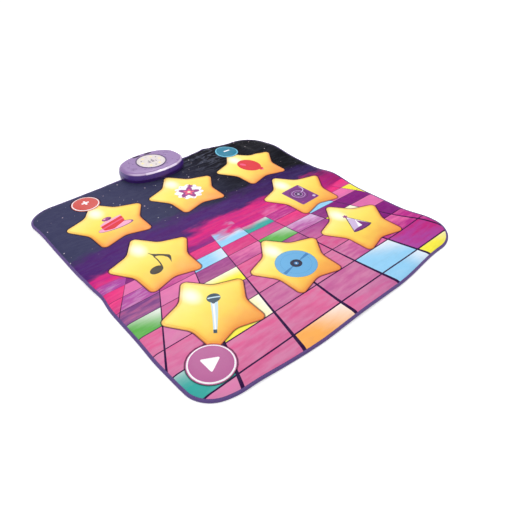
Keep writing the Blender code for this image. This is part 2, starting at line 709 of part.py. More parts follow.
def build_batteries(surfaces):
    """Three cells side by side, alternately turned round, between two contact plates."""
    low = DOOR_TOP + 2 * GAP
    centre_z = low + CELL_RADIUS
    half = (CELL_LENGTH + CELL_NUB) / 2
    profile = (
        (-half, CELL_RADIUS), (half - CELL_NUB, CELL_RADIUS),
        (half - CELL_NUB, CELL_NUB_RADIUS), (half, CELL_NUB_RADIUS),
    )
    for i in range(CELL_COUNT):
        y = BAY_Y0 + GAP + CELL_RADIUS + i * (2 * CELL_RADIUS + GAP)
        turned_round = 1 if i % 2 == 0 else -1
        cell = loft([
            [(turned_round * x, y + across, centre_z + up) for across, up in circle(0, 0, radius, 20)]
            for x, radius in profile
        ])
        shade(add_object(f"battery_{i + 1}", cell, surfaces["cell"], (0, y, centre_z)))
    for side, sign in SIDES:
        x0, x1 = sorted((sign * (half + GAP), sign * (half + GAP + CONTACT)))
        contact = box((x0, BAY_Y0 + GAP, low), (x1, BAY_Y1 - GAP, low + CONTACT_HEIGHT))
        add_object(f"battery_contact_{side}", contact, surfaces["steel"])


def build_battery_door(surfaces):
    """The battery door under the unit, which swings down about its rear edge, and its screw."""
    hinge = bpy.data.objects.new("battery_door_axis", None)
    hinge.location = (0, DOOR_Y1, UNIT_BASE)
    bpy.context.scene.collection.objects.link(hinge)
    slab = symmetric_box(DOOR_X, DOOR_Y0, DOOR_Y1, UNIT_BASE, DOOR_TOP)
    door = add_object("battery_door", slab, surfaces["casing"], hinge.location, hinge)
    hole = post(0, DOOR_SCREW_Y, DOOR_SCREW_RADIUS + GAP, 0, DOOR_TOP + OVERRUN)
    cut(door, "screw", hole)
    head = UNIT_BASE - GAP
    screw = turned(0, DOOR_SCREW_Y, [
        (2 * DOOR_SCREW_RADIUS, head - DOOR_SCREW_HEAD), (2 * DOOR_SCREW_RADIUS, head),
        (DOOR_SCREW_RADIUS, head), (DOOR_SCREW_RADIUS, DOOR_TOP + DOOR_SCREW_BITE),
    ], 12)
    shade(add_object("battery_door_screw", screw, surfaces["steel"], hinge.location, hinge))


def build_screw(name, x, y, head_radius, low, head, surface):
    """A screw that points up: its head, and a shank up to the bosses of the upper casing."""
    screw = turned(x, y, [
        (head_radius, low), (head_radius, low + head),
        (SCREW_RADIUS, low + head), (SCREW_RADIUS, SCREW_TIP),
    ], 12)
    shade(add_object(name, screw, surface, (x, y, 0)))


def build_fasteners(surfaces):
    """Two screws up through the mat, two up through the rear of the unit, and two rubber feet."""
    steel = surfaces["steel"]
    for side, sign in SIDES:
        build_screw(f"mat_screw_{side}", sign * MAT_SCREW_X, MAT_SCREW_Y,
                    MAT_SCREW_HEAD_RADIUS, BACKING - MAT_SCREW_HEAD, MAT_SCREW_HEAD, steel)
        build_screw(f"casing_screw_{side}", sign * REAR_SCREW_X, REAR_SCREW_Y,
                    SCREW_HEAD_RADIUS, UNIT_BASE + GAP, SCREW_HEAD, steel)
        x = sign * FOOT_X
        top = UNIT_BASE - GAP
        foot = turned(x, FOOT_Y, [
            (0.85 * FOOT_RADIUS, 0), (FOOT_RADIUS, 0.25 * top), (FOOT_RADIUS, top),
            (FOOT_PEG_RADIUS, top), (FOOT_PEG_RADIUS, UNIT_BASE + FOOT_PEG),
        ], 20)
        shade(add_object(f"foot_{side}", foot, surfaces["rubber"], (x, FOOT_Y, 0)))


def make_surfaces():
    """Every finish of the mat and its unit."""
    return {
        "backing": finish("backing", (0.05, 0.05, 0.06), 0.9),
        "base_foam": finish("foam", (0.75, 0.75, 0.78), 0.95),
        "lower_film": finish("film", (0.70, 0.72, 0.75), 0.4),
        "spacer": finish("spacer", (0.80, 0.80, 0.82), 0.95),
        "upper_film": finish("upper_film", (0.68, 0.70, 0.74), 0.4),
        "cover": finish("cover", (0.22, 0.05, 0.25), 0.45),
        "binding": finish("binding", (0.20, 0.08, 0.36), 0.6),
        "star": finish("star", (0.95, 0.62, 0.07), 0.4),
        "start_pad": finish("start_pad", (0.36, 0.10, 0.35), 0.4),
        "volume_up_pad": finish("volume_up_pad", (0.80, 0.06, 0.08), 0.4),
        "volume_down_pad": finish("volume_down_pad", (0.05, 0.30, 0.62), 0.4),
        "casing": finish("casing", (0.14, 0.05, 0.30), 0.35),
        "top": finish("top_casing", (0.38, 0.26, 0.55), 0.4),
        "trim": finish("trim", (0.36, 0.22, 0.56), 0.25),
        "disc": finish("disc", (0.85, 0.82, 0.74), 0.4),
        "black": finish("black_plastic", (0.03, 0.03, 0.04), 0.5),
        "steel": finish("steel", (0.55, 0.55, 0.57), 0.35, 1.0),
        "cell": finish("cell", (0.10, 0.10, 0.12), 0.35),
        "board": finish("board", (0.04, 0.22, 0.08), 0.5),
        "rubber": finish("rubber", (0.03, 0.03, 0.03), 0.85),
    }


def main():
    for obj in list(bpy.data.objects):
        bpy.data.objects.remove(obj, do_unlink=True)
    surfaces = make_surfaces()
    fold = bpy.data.objects.new("front_fold_axis", None)
    fold.location = (0, FOLD_Y, FOLD_Z)
    bpy.context.scene.collection.objects.link(fold)
    build_mat_layers(surfaces, fold)
    build_binding(surfaces["binding"], fold)
    build_pads(surfaces, fold)
    build_lower_casing(surfaces["casing"])
    build_upper_casing(surfaces["top"])
    build_unit_top(surfaces)
    build_switches(surfaces)
    build_speaker(surfaces)
    build_board(surfaces)
    build_batteries(surfaces)
    build_battery_door(surfaces)
    build_fasteners(surfaces)
    print(f"pad travel {PAD_TRAVEL * 1000:.2f} mm, fold axis at y {FOLD_Y:.5f}, z {FOLD_Z:.5f}")


main()
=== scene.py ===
# %% [markdown]
# # An electronic dance mat
# A padded mat for the floor, with eight star pads and three round ones, and a small sound unit
# that sits over the middle of its rear edge. The CAD model gives every piece its size and place.
# This script gives them their finer shapes, their print and their finish, and lights the scene.

import json
import math

import bmesh
import bpy
import numpy as np
from mathutils import Matrix, Vector
from mathutils.geometry import delaunay_2d_cdt


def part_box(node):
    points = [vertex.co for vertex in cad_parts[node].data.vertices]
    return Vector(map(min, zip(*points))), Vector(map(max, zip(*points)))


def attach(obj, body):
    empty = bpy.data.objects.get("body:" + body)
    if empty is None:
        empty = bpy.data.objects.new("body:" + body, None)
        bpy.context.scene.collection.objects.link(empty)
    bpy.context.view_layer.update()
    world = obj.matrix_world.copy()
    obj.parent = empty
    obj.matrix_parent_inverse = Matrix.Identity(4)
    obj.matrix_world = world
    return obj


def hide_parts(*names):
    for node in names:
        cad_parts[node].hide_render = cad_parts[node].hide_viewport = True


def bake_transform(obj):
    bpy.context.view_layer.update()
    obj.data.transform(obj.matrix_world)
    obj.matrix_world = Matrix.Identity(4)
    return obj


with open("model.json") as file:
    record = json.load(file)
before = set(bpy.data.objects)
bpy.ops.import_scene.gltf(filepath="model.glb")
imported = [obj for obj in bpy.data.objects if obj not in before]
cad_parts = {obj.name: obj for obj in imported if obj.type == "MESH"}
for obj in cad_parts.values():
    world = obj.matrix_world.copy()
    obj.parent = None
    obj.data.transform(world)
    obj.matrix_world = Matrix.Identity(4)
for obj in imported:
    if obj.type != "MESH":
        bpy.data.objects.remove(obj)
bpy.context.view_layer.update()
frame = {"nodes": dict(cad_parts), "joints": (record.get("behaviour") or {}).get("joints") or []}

# %% [markdown]
# ## The camera
# The photograph looks down on the mat from beyond its front left corner. Placing a camera by eye
# rarely gives the right perspective, so the eight star pads, which lie on a regular grid, were
# used to solve for the camera's place, turn and lens.

# %% Camera
AZIMUTH, ELEVATION, ROLL = math.radians(-43.004), math.radians(38.566), math.radians(0.905)
CAMERA_PLACE = (-0.69318, -0.86666, 0.74447)
SENSOR_MM, FOCAL_PIXELS, PHOTO_PIXELS = 36.0, 477.295, 530
back = Vector((math.sin(AZIMUTH) * math.cos(ELEVATION), -math.cos(AZIMUTH) * math.cos(ELEVATION),
               math.sin(ELEVATION)))
right = Vector((math.cos(AZIMUTH), math.sin(AZIMUTH), 0.0))
up = back.cross(right)
rolled_right = math.cos(ROLL) * right + math.sin(ROLL) * up
rolled_up = math.cos(ROLL) * up - math.sin(ROLL) * right

camera = bpy.data.objects.new("camera", bpy.data.cameras.new("camera"))
camera.matrix_world = Matrix.Translation(CAMERA_PLACE) @ Matrix(
    (rolled_right, rolled_up, back)).transposed().to_4x4()
camera.data.sensor_width = SENSOR_MM
camera.data.lens = SENSOR_MM * FOCAL_PIXELS / PHOTO_PIXELS
camera.data.clip_start, camera.data.clip_end = 0.01, 50.0
bpy.context.scene.collection.objects.link(camera)
bpy.context.scene.camera = camera
print("camera", round(camera.data.lens, 2), "mm lens,", round(Vector(CAMERA_PLACE).length, 3), "m away")

# %% [markdown]
# ## A tool for materials
# A material here is a graph of small nodes. Wiring each by hand takes many lines, so a short class
# makes a node, sets its values and joins it in one call. Colours are written as they look on a
# screen, from 0 to 255, and are turned into the linear light that shaders work in.

# %% Colours and node graphs
def paint(red, green, blue):
    """A screen colour of 0 to 255 as linear light: the piecewise power law of sRGB."""
    values = np.array([red, green, blue]) / 255
    linear = np.where(values <= 0.04045, values / 12.92, ((values + 0.055) / 1.055) ** 2.4)
    return (*linear.tolist(), 1.0)


class Graph:
    """A node tree with short calls for the nodes that the materials use."""

    def __init__(self, tree):
        self.tree = tree

    def node(self, kind, inputs=(), **settings):
        """A node of one kind, with its settings and with values or links on its inputs."""
        made = self.tree.nodes.new(f"ShaderNode{kind}")
        for name, value in settings.items():
            setattr(made, name, value)
        for socket, value in dict(inputs).items():
            self.put(made.inputs[socket], value)
        return made

    def put(self, socket, value):
        """Links an output to the socket, or sets the socket to a plain value or a screen colour."""
        if isinstance(value, bpy.types.NodeSocket):
            self.tree.links.new(value, socket)
        elif socket.type == "RGBA" and len(value) == 3:
            socket.default_value = paint(*value)
        else:
            socket.default_value = value

    def math(self, operation, *values, clamp=False):
        """The result of one arithmetic step."""
        return self.node("Math", enumerate(values), operation=operation, use_clamp=clamp).outputs[0]

    def plus(self, first, second, clamp=False):
        """The sum of two values."""
        return self.math("ADD", first, second, clamp=clamp)

    def minus(self, first, second, clamp=False):
        """The first value less the second."""
        return self.math("SUBTRACT", first, second, clamp=clamp)

    def times(self, *values):
        """The product of two or more values."""
        product = values[0]
        for value in values[1:]:
            product = self.math("MULTIPLY", product, value)
        return product

    def between(self, value, low, high):
        """1 where a value lies between two others, and 0 elsewhere."""
        return self.times(self.math("GREATER_THAN", value, low), self.math("LESS_THAN", value, high))

    def axes(self, vector):
        """The x, y and z of a vector."""
        return self.node("SeparateXYZ", [(0, vector)]).outputs

    def flat_vector(self, x, y):
        """A vector in the plane."""
        return self.node("CombineXYZ", [(0, x), (1, y)]).outputs[0]

    def apart(self, vector, point):
        """The distance of a vector from a fixed point."""
        return self.node("VectorMath", [(0, vector), (1, point)], operation="DISTANCE").outputs["Value"]

    def place(self):
        """The place in the object's own coordinates."""
        return self.node("TexCoord").outputs["Object"]

    def point_value(self, name):
        """A number that the mesh holds at each of its points."""
        return self.node("Attribute", attribute_name=name).outputs["Fac"]

    def grey(self, value):
        """A colour with one value in all its channels."""
        return self.node("CombineColor", [(i, value) for i in range(3)]).outputs[0]

    def surface(self, shader, colour, rough):
        """Gives the shader its colour and roughness, each a link or a plain value."""
        self.put(shader.inputs["Base Color"], colour)
        self.put(shader.inputs["Roughness"], rough)

    def bump(self, shader, height, strength, distance):
        """Turns a height into small dents in the shader's normal."""
        made = self.node("Bump", {"Height": height, "Strength": strength, "Distance": distance})
        self.put(shader.inputs["Normal"], made.outputs[0])

    def mix(self, factor, first, second, how="MIX"):
        """Two colours mixed by a factor."""
        made = self.node("Mix", data_type="RGBA", blend_type=how)
        for socket, value in zip((made.inputs[0], made.inputs[6], made.inputs[7]), (factor, first, second)):
            self.put(socket, value)
        return made.outputs[2]

    def fade(self, value, start, end, to_start=0.0, to_end=1.0):
        """A smooth step from to_start at start to to_end at end."""
        made = self.node("MapRange", interpolation_type="SMOOTHSTEP")
        for socket, item in zip(made.inputs[:5], (value, start, end, to_start, to_end)):
            self.put(socket, item)
        return made.outputs[0]

    def ramp(self, value, stops, interpolation="LINEAR"):
        """A colour looked up along a ramp of stops, each a position and a screen colour."""
        made = self.node("ValToRGB", [(0, value)])
        elements = made.color_ramp.elements
        made.color_ramp.interpolation = interpolation
        while len(elements) < len(stops):
            elements.new(1.0)
        for element, (position, colour) in zip(elements, stops):
            element.position, element.color = position, paint(*colour)
        return made.outputs[0]

    def noise(self, vector, scale, detail=2.0, roughness=0.5, stretch=None):
        """Smooth noise of 0 to 1, its pattern stretched if need be."""
        if stretch:
            vector = self.node("Mapping", {"Vector": vector, "Scale": stretch}).outputs[0]
        made = self.node("TexNoise", {"Vector": vector, "Scale": scale, "Detail": detail,
                                      "Roughness": roughness})
        return made.outputs[0]


print("a mid grey of 128 is", round(paint(128, 128, 128)[0], 4), "in linear light")

# %% [markdown]
# ## Effects that several materials share
# The mat's cover and its pads are one kind of cloth: a fine weave under a glossy coat, creased a
# little from being rolled up in its box. The plastic pieces share a fine moulded grain. Each
# effect is a node group, built once and used with its own values. A group gives out only values
# that change over the surface.

# %% Shared node groups
def new_group(name, inputs, outputs):
    """A node group with named float or vector sockets: its graph, the values that it is given and
    the sockets for what it gives out."""
    tree = bpy.data.node_groups.new(name, "ShaderNodeTree")
    for socket, kind, value in inputs:
        made = tree.interface.new_socket(socket, in_out="INPUT", socket_type=f"NodeSocket{kind}")
        if value is not None:
            made.default_value = value
    for socket in outputs:
        tree.interface.new_socket(socket, in_out="OUTPUT", socket_type="NodeSocketFloat")
    ends = tree.nodes.new("NodeGroupInput"), tree.nodes.new("NodeGroupOutput")
    return Graph(tree), ends[0].outputs, ends[1].inputs


def make_cloth_group():
    """Coated cloth: a woven grid of threads, long soft creases and a patchy coat."""
    g, given, out = new_group(
        "coated_cloth",
        [("Vector", "Vector", None), ("Thread", "Float", 0.0006), ("Crease", "Float", 1.0)],
        ("Height", "Gloss", "Tone"))
    vector = given["Vector"]
    axes = g.axes(vector)
    weave = g.times(*(g.math("SINE", g.times(g.math("DIVIDE", axes[k], given["Thread"]), 2 * math.pi))
                      for k in (0, 1)))
    long_crease = g.noise(vector, 9.0, 3.0, 0.55, (1.0, 2.6, 1.0))
    cross_crease = g.noise(vector, 14.0, 2.0, 0.5, (2.4, 0.8, 1.0))
    creases = g.times(g.plus(long_crease, g.times(cross_crease, 0.6)), given["Crease"])
    patch = g.noise(vector, 40.0, 3.0)
    g.put(out["Height"], g.plus(g.times(weave, 0.012), creases))
    g.put(out["Gloss"], g.fade(patch, 0.3, 0.7, 0.30, 0.44))
    g.put(out["Tone"], g.fade(patch, 0.2, 0.8, 0.965, 1.0))
    return g.tree


def make_grain_group():
    """Moulded plastic: a fine leathery grain, with gloss that varies from place to place."""
    g, given, out = new_group(
        "moulded_grain",
        [("Vector", "Vector", None), ("Size", "Float", 900.0), ("Rough", "Float", 0.3)],
        ("Height", "Roughness", "Tone"))
    pits = g.node("TexVoronoi", {"Vector": given["Vector"], "Scale": given["Size"]})
    smear = g.noise(given["Vector"], 30.0, 4.0)
    g.put(out["Height"], pits.outputs[0])
    g.put(out["Roughness"], g.plus(given["Rough"], g.fade(smear, 0.3, 0.7, -0.04, 0.06)))
    g.put(out["Tone"], g.fade(smear, 0.2, 0.8, 0.95, 1.0))
    return g.tree


CLOTH, GRAIN = make_cloth_group(), make_grain_group()
print("groups:", [group.name for group in bpy.data.node_groups])

# %% [markdown]
# ## Helpers for finishes
# A coated cloth, a moulded plastic and a metal each have one recipe, so that a new colour takes
# one line. A cloth reads the piece's own map, which holds its flat place in metres, so its print
# follows it when it bends. A rigid piece reads the object's own coordinates.

# %% Finish recipes
THREAD_PITCH, CREASE_DEPTH = 0.0006, 0.0009


def new_material(name):
    """A material with only its Principled shader and output, as a graph and the shader."""
    material = bpy.data.materials.new(name)
    material.use_nodes = True
    material.node_tree.nodes.clear()
    g = Graph(material.node_tree)
    shader = g.node("BsdfPrincipled")
    g.node("OutputMaterial", [(0, shader.outputs[0])])
    return material, g, shader


def flat_place(g, which="flat"):
    """The place on the flat cloth, in metres, from one of the piece's own maps."""
    return g.node("UVMap", uv_map=which).outputs[0]


def dimmed(colour):
    """A screen colour, a fifth darker."""
    return tuple(0.8 * c for c in colour)


def coat(g, shader, colour, crease=1.0, shine=0.14, crumple=0.0, polish=0.0):
    """Finishes a shader as coated cloth over a colour, which is a link or a screen colour."""
    cloth = g.node("Group", node_tree=CLOTH)
    for socket, value in (("Vector", flat_place(g)), ("Thread", THREAD_PITCH), ("Crease", crease)):
        g.put(cloth.inputs[socket], value)
    g.surface(shader, g.mix(1.0, colour, g.grey(cloth.outputs["Tone"]), "MULTIPLY"),
              g.minus(cloth.outputs["Gloss"], polish))
    g.bump(shader, g.plus(cloth.outputs["Height"], crumple), 0.55, CREASE_DEPTH)
    shader.inputs["Coat Weight"].default_value = 0.01
    shader.inputs["Coat Roughness"].default_value = 0.25
    shader.inputs["Specular IOR Level"].default_value = shine


def ink(name, colour, crease=0.5):
    """One flat printed colour on coated cloth."""
    material, g, shader = new_material(name)
    coat(g, shader, colour, crease)
    return material


def plastic(name, colour, rough, size, bump=0.00004, coat_weight=0.0):
    """Moulded plastic in one colour, or in a colour that a function works out in the graph."""
    material, g, shader = new_material(name)
    place = g.place()
    grain = g.node("Group", node_tree=GRAIN)
    for socket, value in (("Vector", place), ("Size", size), ("Rough", rough)):
        g.put(grain.inputs[socket], value)
    base = colour(g, place) if callable(colour) else colour
    g.surface(shader, g.mix(1.0, base, g.grey(grain.outputs["Tone"]), "MULTIPLY"), grain.outputs["Roughness"])
    g.bump(shader, grain.outputs["Height"], 0.5, bump)
    shader.inputs["Coat Weight"].default_value = coat_weight
    return material


def metal(name, colour, rough):
    """Plated metal with fine brushing along one direction."""
    material, g, shader = new_material(name)
    brushed = g.noise(g.place(), 120.0, 3.0, 0.6, (1.0, 30.0, 1.0))
    g.surface(shader, g.mix(g.fade(brushed, 0.3, 0.7), colour, dimmed(colour)),
              g.fade(brushed, 0.2, 0.8, rough - 0.06, rough + 0.1))
    shader.inputs["Metallic"].default_value = 1.0
    return material


print("recipes: coated cloth, moulded plastic, plated metal")

# %% [markdown]
# ## The outline of the mat and how it lies
# The mat is a rounded rectangle, 85 by 88 cm, whose sewn edges bow a little. A cloth mat that
# comes out of its box never lies dead flat: its edges lift here and there in long shallow waves.
# One height function gives that lift at any place, and every layer, the binding and the pads add
# the same lift, so they stay together. A second function gives how far the seam presses the
# layers together near the edge. Both are nothing below the sound unit, where the mat is held down.

# %% Outline and lift
MAT_HALF, MAT_FRONT, MAT_REAR, MAT_CORNER = 0.423, -0.455, 0.428, 0.083
MAT_SCREW_X, MAT_SCREW_Y = 0.060, 0.385
HELD_X, HELD_Y, HELD_AT, HELD_FADE = 0.128, 0.095, 0.428, 0.30
SEAM_PRESS, SEAM_REACH, RIPPLE, CREASE_FADE = 0.42, 0.016, 0.0004, 0.035
FOLD_Y, FOLD_HALF = float(frame["joints"][0]["pos_m"][1]), 0.0095
EDGE_POINTS = 1400


def smooth(t):
    """The smooth step: 0 below 0, 1 above 1, and 3 t^2 - 2 t^3 between."""
    t = np.clip(t, 0, 1)
    return t * t * (3 - 2 * t)


def edge_frame(count):
    """Points along the mat's edge at even steps, and the outward direction at each.

    The path runs along straight sides and quarter circles; the distance from the start picks the
    side, and what is left over is the place along it or the angle in its corner. Each point then
    moves outwards by the bow of its side, a sum of smooth steps, a slope and bells along it."""
    straight = np.array([2 * (MAT_HALF - MAT_CORNER), MAT_REAR - MAT_FRONT - 2 * MAT_CORNER] * 2)
    quarter = MAT_CORNER * math.pi / 2
    lengths = np.stack([straight, np.full(4, quarter)], axis=1).ravel()
    starts = np.concatenate([[0], np.cumsum(lengths)])
    along = np.arange(count) / count * starts[-1]
    piece = np.searchsorted(starts, along, side="right") - 1
    rest = along - starts[piece]
    side, corner = piece // 2, piece % 2 == 1
    turn = side * math.pi / 2 + np.where(corner, rest / MAT_CORNER, 0.0)
    outward = np.stack([np.sin(turn), -np.cos(turn)], axis=1)
    ahead = np.stack([np.cos(turn), np.sin(turn)], axis=1)
    left, low, high = -MAT_HALF + MAT_CORNER, MAT_FRONT + MAT_CORNER, MAT_REAR - MAT_CORNER
    centres = np.array([(left, low), (-left, low), (-left, high), (left, high)])
    start = np.where(corner[:, None], centres[(side + 1) % 4], centres[side])
    step = np.where(corner[:, None], 0.0, ahead * rest[:, None])
    points = start + step + MAT_CORNER * outward
    x, y = points.T
    bell = lambda t, middle, half: np.exp(-((t - middle) / half) ** 2)
    bow_front = (0.003 - 0.016 * smooth((np.abs(x) - 0.12) / 0.21) - 0.0045 * bell(x, -0.40, 0.045)
                 + 0.0025 * bell(x, -0.27, 0.07))
    bow_across = np.where(y < 0, bow_front, 0.002 - 0.007 * smooth((np.abs(x) - 0.18) / 0.16))
    bow_left = (0.004 - 0.014 * y + 0.0045 * bell(y, 0.385, 0.06) - 0.0055 * bell(y, -0.03, 0.035)
                + 0.0022 * bell(y, -0.27, 0.05) - 0.0045 * bell(y, -0.415, 0.045))
    bow_right = -0.002 + 0.009 * bell(y, -0.37, 0.055) + 0.0045 * bell(y, -0.03, 0.05)
    bow_along = np.where(x < 0, bow_left, bow_right)
    bow = outward[:, 1] ** 2 * bow_across + outward[:, 0] ** 2 * bow_along
    return points + bow[:, None] * outward, outward


# Each wave: x, y, height, half width along x and along y
WAVES = np.array([
    (0.43, 0.015, 0.0095, 0.085, 0.048), (0.43, 0.285, 0.0095, 0.080, 0.060),
    (0.01, -0.462, 0.0050, 0.120, 0.050), (0.215, 0.440, 0.0085, 0.070, 0.060),
    (-0.43, 0.030, 0.0060, 0.060, 0.040), (-0.43, 0.300, 0.0040, 0.060, 0.070),
    (-0.30, -0.462, 0.0035, 0.060, 0.050), (0.43, -0.335, 0.0080, 0.070, 0.055),
    (0.152, 0.385, 0.0050, 0.014, 0.040), (0.188, 0.352, 0.0035, 0.010, 0.045),
    (0.206, 0.420, 0.0030, 0.012, 0.030), (0.135, 0.330, 0.0025, 0.022, 0.010),
    (-0.160, 0.395, 0.0022, 0.016, 0.050), (0.330, 0.330, 0.0030, 0.012, 0.060),
])


def free_of_unit(x, y):
    """0 below the sound unit and 1 away from it, by an elliptical distance."""
    return smooth((np.hypot(x / HELD_X, (y - HELD_AT) / HELD_Y) - 1.0) / HELD_FADE)


def pressed(x, y, inset):
    """The share of the full thickness that is left at a distance in from the edge."""
    return 1 - SEAM_PRESS * free_of_unit(x, y) * (1 - smooth(inset / SEAM_REACH))


def lift(x, y):
    """How far the mat stands off the floor: a sum of bell-shaped waves along the edges, faded
    out at the crease and round the sound unit."""
    waves = sum(h * np.exp(-((x - cx) / sx) ** 2 - ((y - cy) / sy) ** 2) for cx, cy, h, sx, sy in WAVES)
    ripple = RIPPLE * (1 + np.sin(31 * x + 7 * y) * np.sin(23 * y - 9 * x))
    crease = smooth((np.abs(y - FOLD_Y) - FOLD_HALF) / CREASE_FADE)
    return (waves + ripple) * crease * free_of_unit(x, y)


edge, outward = edge_frame(EDGE_POINTS)
print("edge", round(float(np.linalg.norm(np.roll(edge, -1, 0) - edge, axis=1).sum()), 3), "m round, lifts",
      round(float(lift(*edge.T).max()) * 1000, 1), "mm at most")

# %% [markdown]
# ## Flat shapes with exact outlines
# The layers have star windows, and the pads carry printed pictures. A plain grid would cut those
# outlines into steps. Here the outlines come first: a constrained Delaunay triangulation fills
# the plane between them with near-even triangles, whose edges run exactly along every outline.
# The heights are then worked out for all the points at once.

# %% Plane meshes
PAIRS_AT_ONCE, CLEAR_SHARE, MERGE_WITHIN = 2000000, 0.45, 1e-7


def contains(loop, points):
    """Which points are inside an outline: a ray from each crosses it an odd number of times."""
    ax, ay = loop.T
    bx, by = np.roll(loop, -1, axis=0).T
    x, y = points[:, :1], points[:, 1:2]
    with np.errstate(divide="ignore", invalid="ignore"):
        crosses = ((ay > y) != (by > y)) & (x < ax + (y - ay) * (bx - ax) / (by - ay))
    return crosses.sum(axis=1) % 2 == 1


def inside(outer, holes, points):
    """Which points are inside one outline and outside the holes."""
    keep = contains(outer, points)
    for hole in holes:
        keep &= ~contains(hole, points)
    return keep


def chunks(points, others):
    """The numbers of the points, in runs that keep a table of all pairs small."""
    return np.array_split(np.arange(len(points)), max(1, len(points) * len(others) // PAIRS_AT_ONCE))


def distance_to(loops, points):
    """Distance from each point to the nearest edge of any outline, by projection on to it."""
    best = np.full(len(points), np.inf)
    for loop in loops:
        d = np.roll(loop, -1, axis=0) - loop
        for chunk in chunks(points, loop):
            rel = points[chunk][:, None] - loop[None]
            t = np.clip((rel * d).sum(2) / np.maximum((d * d).sum(1), 1e-15), 0, 1)
            best[chunk] = np.minimum(best[chunk], np.linalg.norm(rel - t[..., None] * d, axis=2).min(1))
    return best


def plane_mesh(outer, holes, lines, spacing):
    """Points and triangles of the area inside one outline and outside the holes.

    Inner points lie on a triangular lattice, and keep nearly half its spacing away from every
    outline and printed line."""
    low, high = outer.min(axis=0), outer.max(axis=0)
    rows = np.arange(low[1], high[1], spacing * math.sqrt(0.75))
    columns = np.arange(low[0], high[0] + spacing, spacing)
    x, y = np.meshgrid(columns, rows)
    x = x + np.where(np.arange(len(rows)) % 2, spacing / 2, 0.0)[:, None]
    lattice = np.stack([x.ravel(), y.ravel()], axis=1)
    lattice = lattice[inside(outer, holes, lattice)]
    loops = [outer, *holes, *lines]
    lattice = lattice[distance_to(loops, lattice) > CLEAR_SHARE * spacing]
    points = np.concatenate([*loops, lattice])
    edges, first = [], 0
    for loop in loops:
        edges += [(first + i, first + (i + 1) % len(loop)) for i in range(len(loop))]
        first += len(loop)
    found = delaunay_2d_cdt([Vector(p) for p in points.tolist()], edges, [], 0, MERGE_WITHIN)
    flat, triangles = np.array([tuple(p) for p in found[0]]), np.array(found[2], int)
    triangles = triangles[inside(outer, holes, flat[triangles].mean(axis=1))]
    used, triangles = np.unique(triangles, return_inverse=True)
    flat, triangles = flat[used], triangles.reshape(-1, 3)
    a, b, c = (flat[triangles[:, i]] for i in range(3))
    area = (b[:, 0] - a[:, 0]) * (c[:, 1] - a[:, 1]) - (b[:, 1] - a[:, 1]) * (c[:, 0] - a[:, 0])
    triangles[area < 0] = triangles[area < 0][:, ::-1]
    return flat, triangles


def open_edges(triangles):
    """The edges that only one triangle has, each in that triangle's direction."""
    ends = np.concatenate([triangles[:, [0, 1]], triangles[:, [1, 2]], triangles[:, [2, 0]]])
    _, index, uses = np.unique(np.sort(ends, axis=1), axis=0, return_inverse=True, return_counts=True)
    return ends[uses[index.reshape(-1)] == 1]


def grid_faces(rows, count, loop=False):
    """Four-sided faces between rows of points, each of which closes on itself."""
    i, j = np.meshgrid(np.arange(rows if loop else rows - 1), np.arange(count), indexing="ij")
    k, m = (i + 1) % rows, (j + 1) % count
    return np.stack([i * count + j, k * count + j, k * count + m, i * count + m], axis=2).reshape(-1, 4)


def new_object(name, points, faces, materials):
    """An object with a mesh of the given points and faces, and with its materials."""
    mesh = bpy.data.meshes.new(name)
    mesh.from_pydata(np.asarray(points, float), [], faces)
    for material in materials:
        mesh.materials.append(material)
    made = bpy.data.objects.new(name, mesh)
    bpy.context.scene.collection.objects.link(made)
    return made


def set_values(mesh, name, values):
    """Stores a number for each point of a mesh under a name."""
    stored = mesh.attributes.new(name, "FLOAT", "POINT")
    stored.data.foreach_set("value", np.asarray(values, np.float32))


def soften(mesh, sharp):
    """Shades a mesh smooth, but for edges sharper than an angle in degrees."""
    mesh.shade_smooth()
    mesh.set_sharp_from_angle(angle=math.radians(sharp))


def make_object(name, points, faces, materials, slots=None, maps=(), values=(), sharp=40):
    """An object from arrays, with named maps and named numbers of its points.

    A map holds the flat place of each point, or of each corner of each face."""
    made = new_object(name, points, np.asarray(faces).tolist(), materials)
    mesh = made.data
    if slots is not None:
        mesh.polygons.foreach_set("material_index", np.asarray(slots, np.int32))
    corner = np.zeros(len(mesh.loops), np.int32)
    mesh.loops.foreach_get("vertex_index", corner)
    for uv_name, places in maps:
        places = np.asarray(places, np.float32)
        places = places[corner] if len(places) == len(points) else places
        mesh.uv_layers.new(name=uv_name).uv.foreach_set("vector", places.ravel())
    for value_name, numbers in values:
        set_values(mesh, value_name, numbers)
    soften(mesh, sharp)
    return made


def at_height(loop, z):
    """An outline in the plane, lifted to one height or to a height for each point."""
    return np.column_stack([loop, np.broadcast_to(z, len(loop))])


def slab(flat, triangles, top, bottom):
    """A closed solid: a top sheet, the same sheet turned over as its underside, and a wall
    between their open edges."""
    count = len(flat)
    rim = open_edges(triangles)
    wall = np.concatenate([
        np.stack([rim[:, 0], rim[:, 0] + count, rim[:, 1] + count], axis=1),
        np.stack([rim[:, 0], rim[:, 1] + count, rim[:, 1]], axis=1)])
    points = np.concatenate([at_height(flat, top), at_height(flat, bottom)])
    faces = np.concatenate([triangles, triangles[:, ::-1] + count, wall])
    return points, faces


print("plane tools ready")

# %% [markdown]
# ## Where the pads are
# The stars stand on a grid with nothing in its middle, and three round pads overlap the tips of
# stars at the corners. A star is a chain of ten arcs: round tips and wide round valleys, joined
# by straight tangents. Growing a tip's radius and shrinking a valley's moves the whole outline out.

# %% Pad outlines
COLUMN_PITCH, ROW_PITCH = 0.2545, 0.230
STAR_TIP, STAR_VALLEY, TIP_ROUND, VALLEY_ROUND = 0.116, 0.081, 0.013, 0.045
ARC_STEPS, STAR_POINTS = 24, 400
WINDOW_GAP = 0.0004


def angles(count):
    """Even steps of angle round a full turn."""
    return 2 * math.pi * np.arange(count) / count


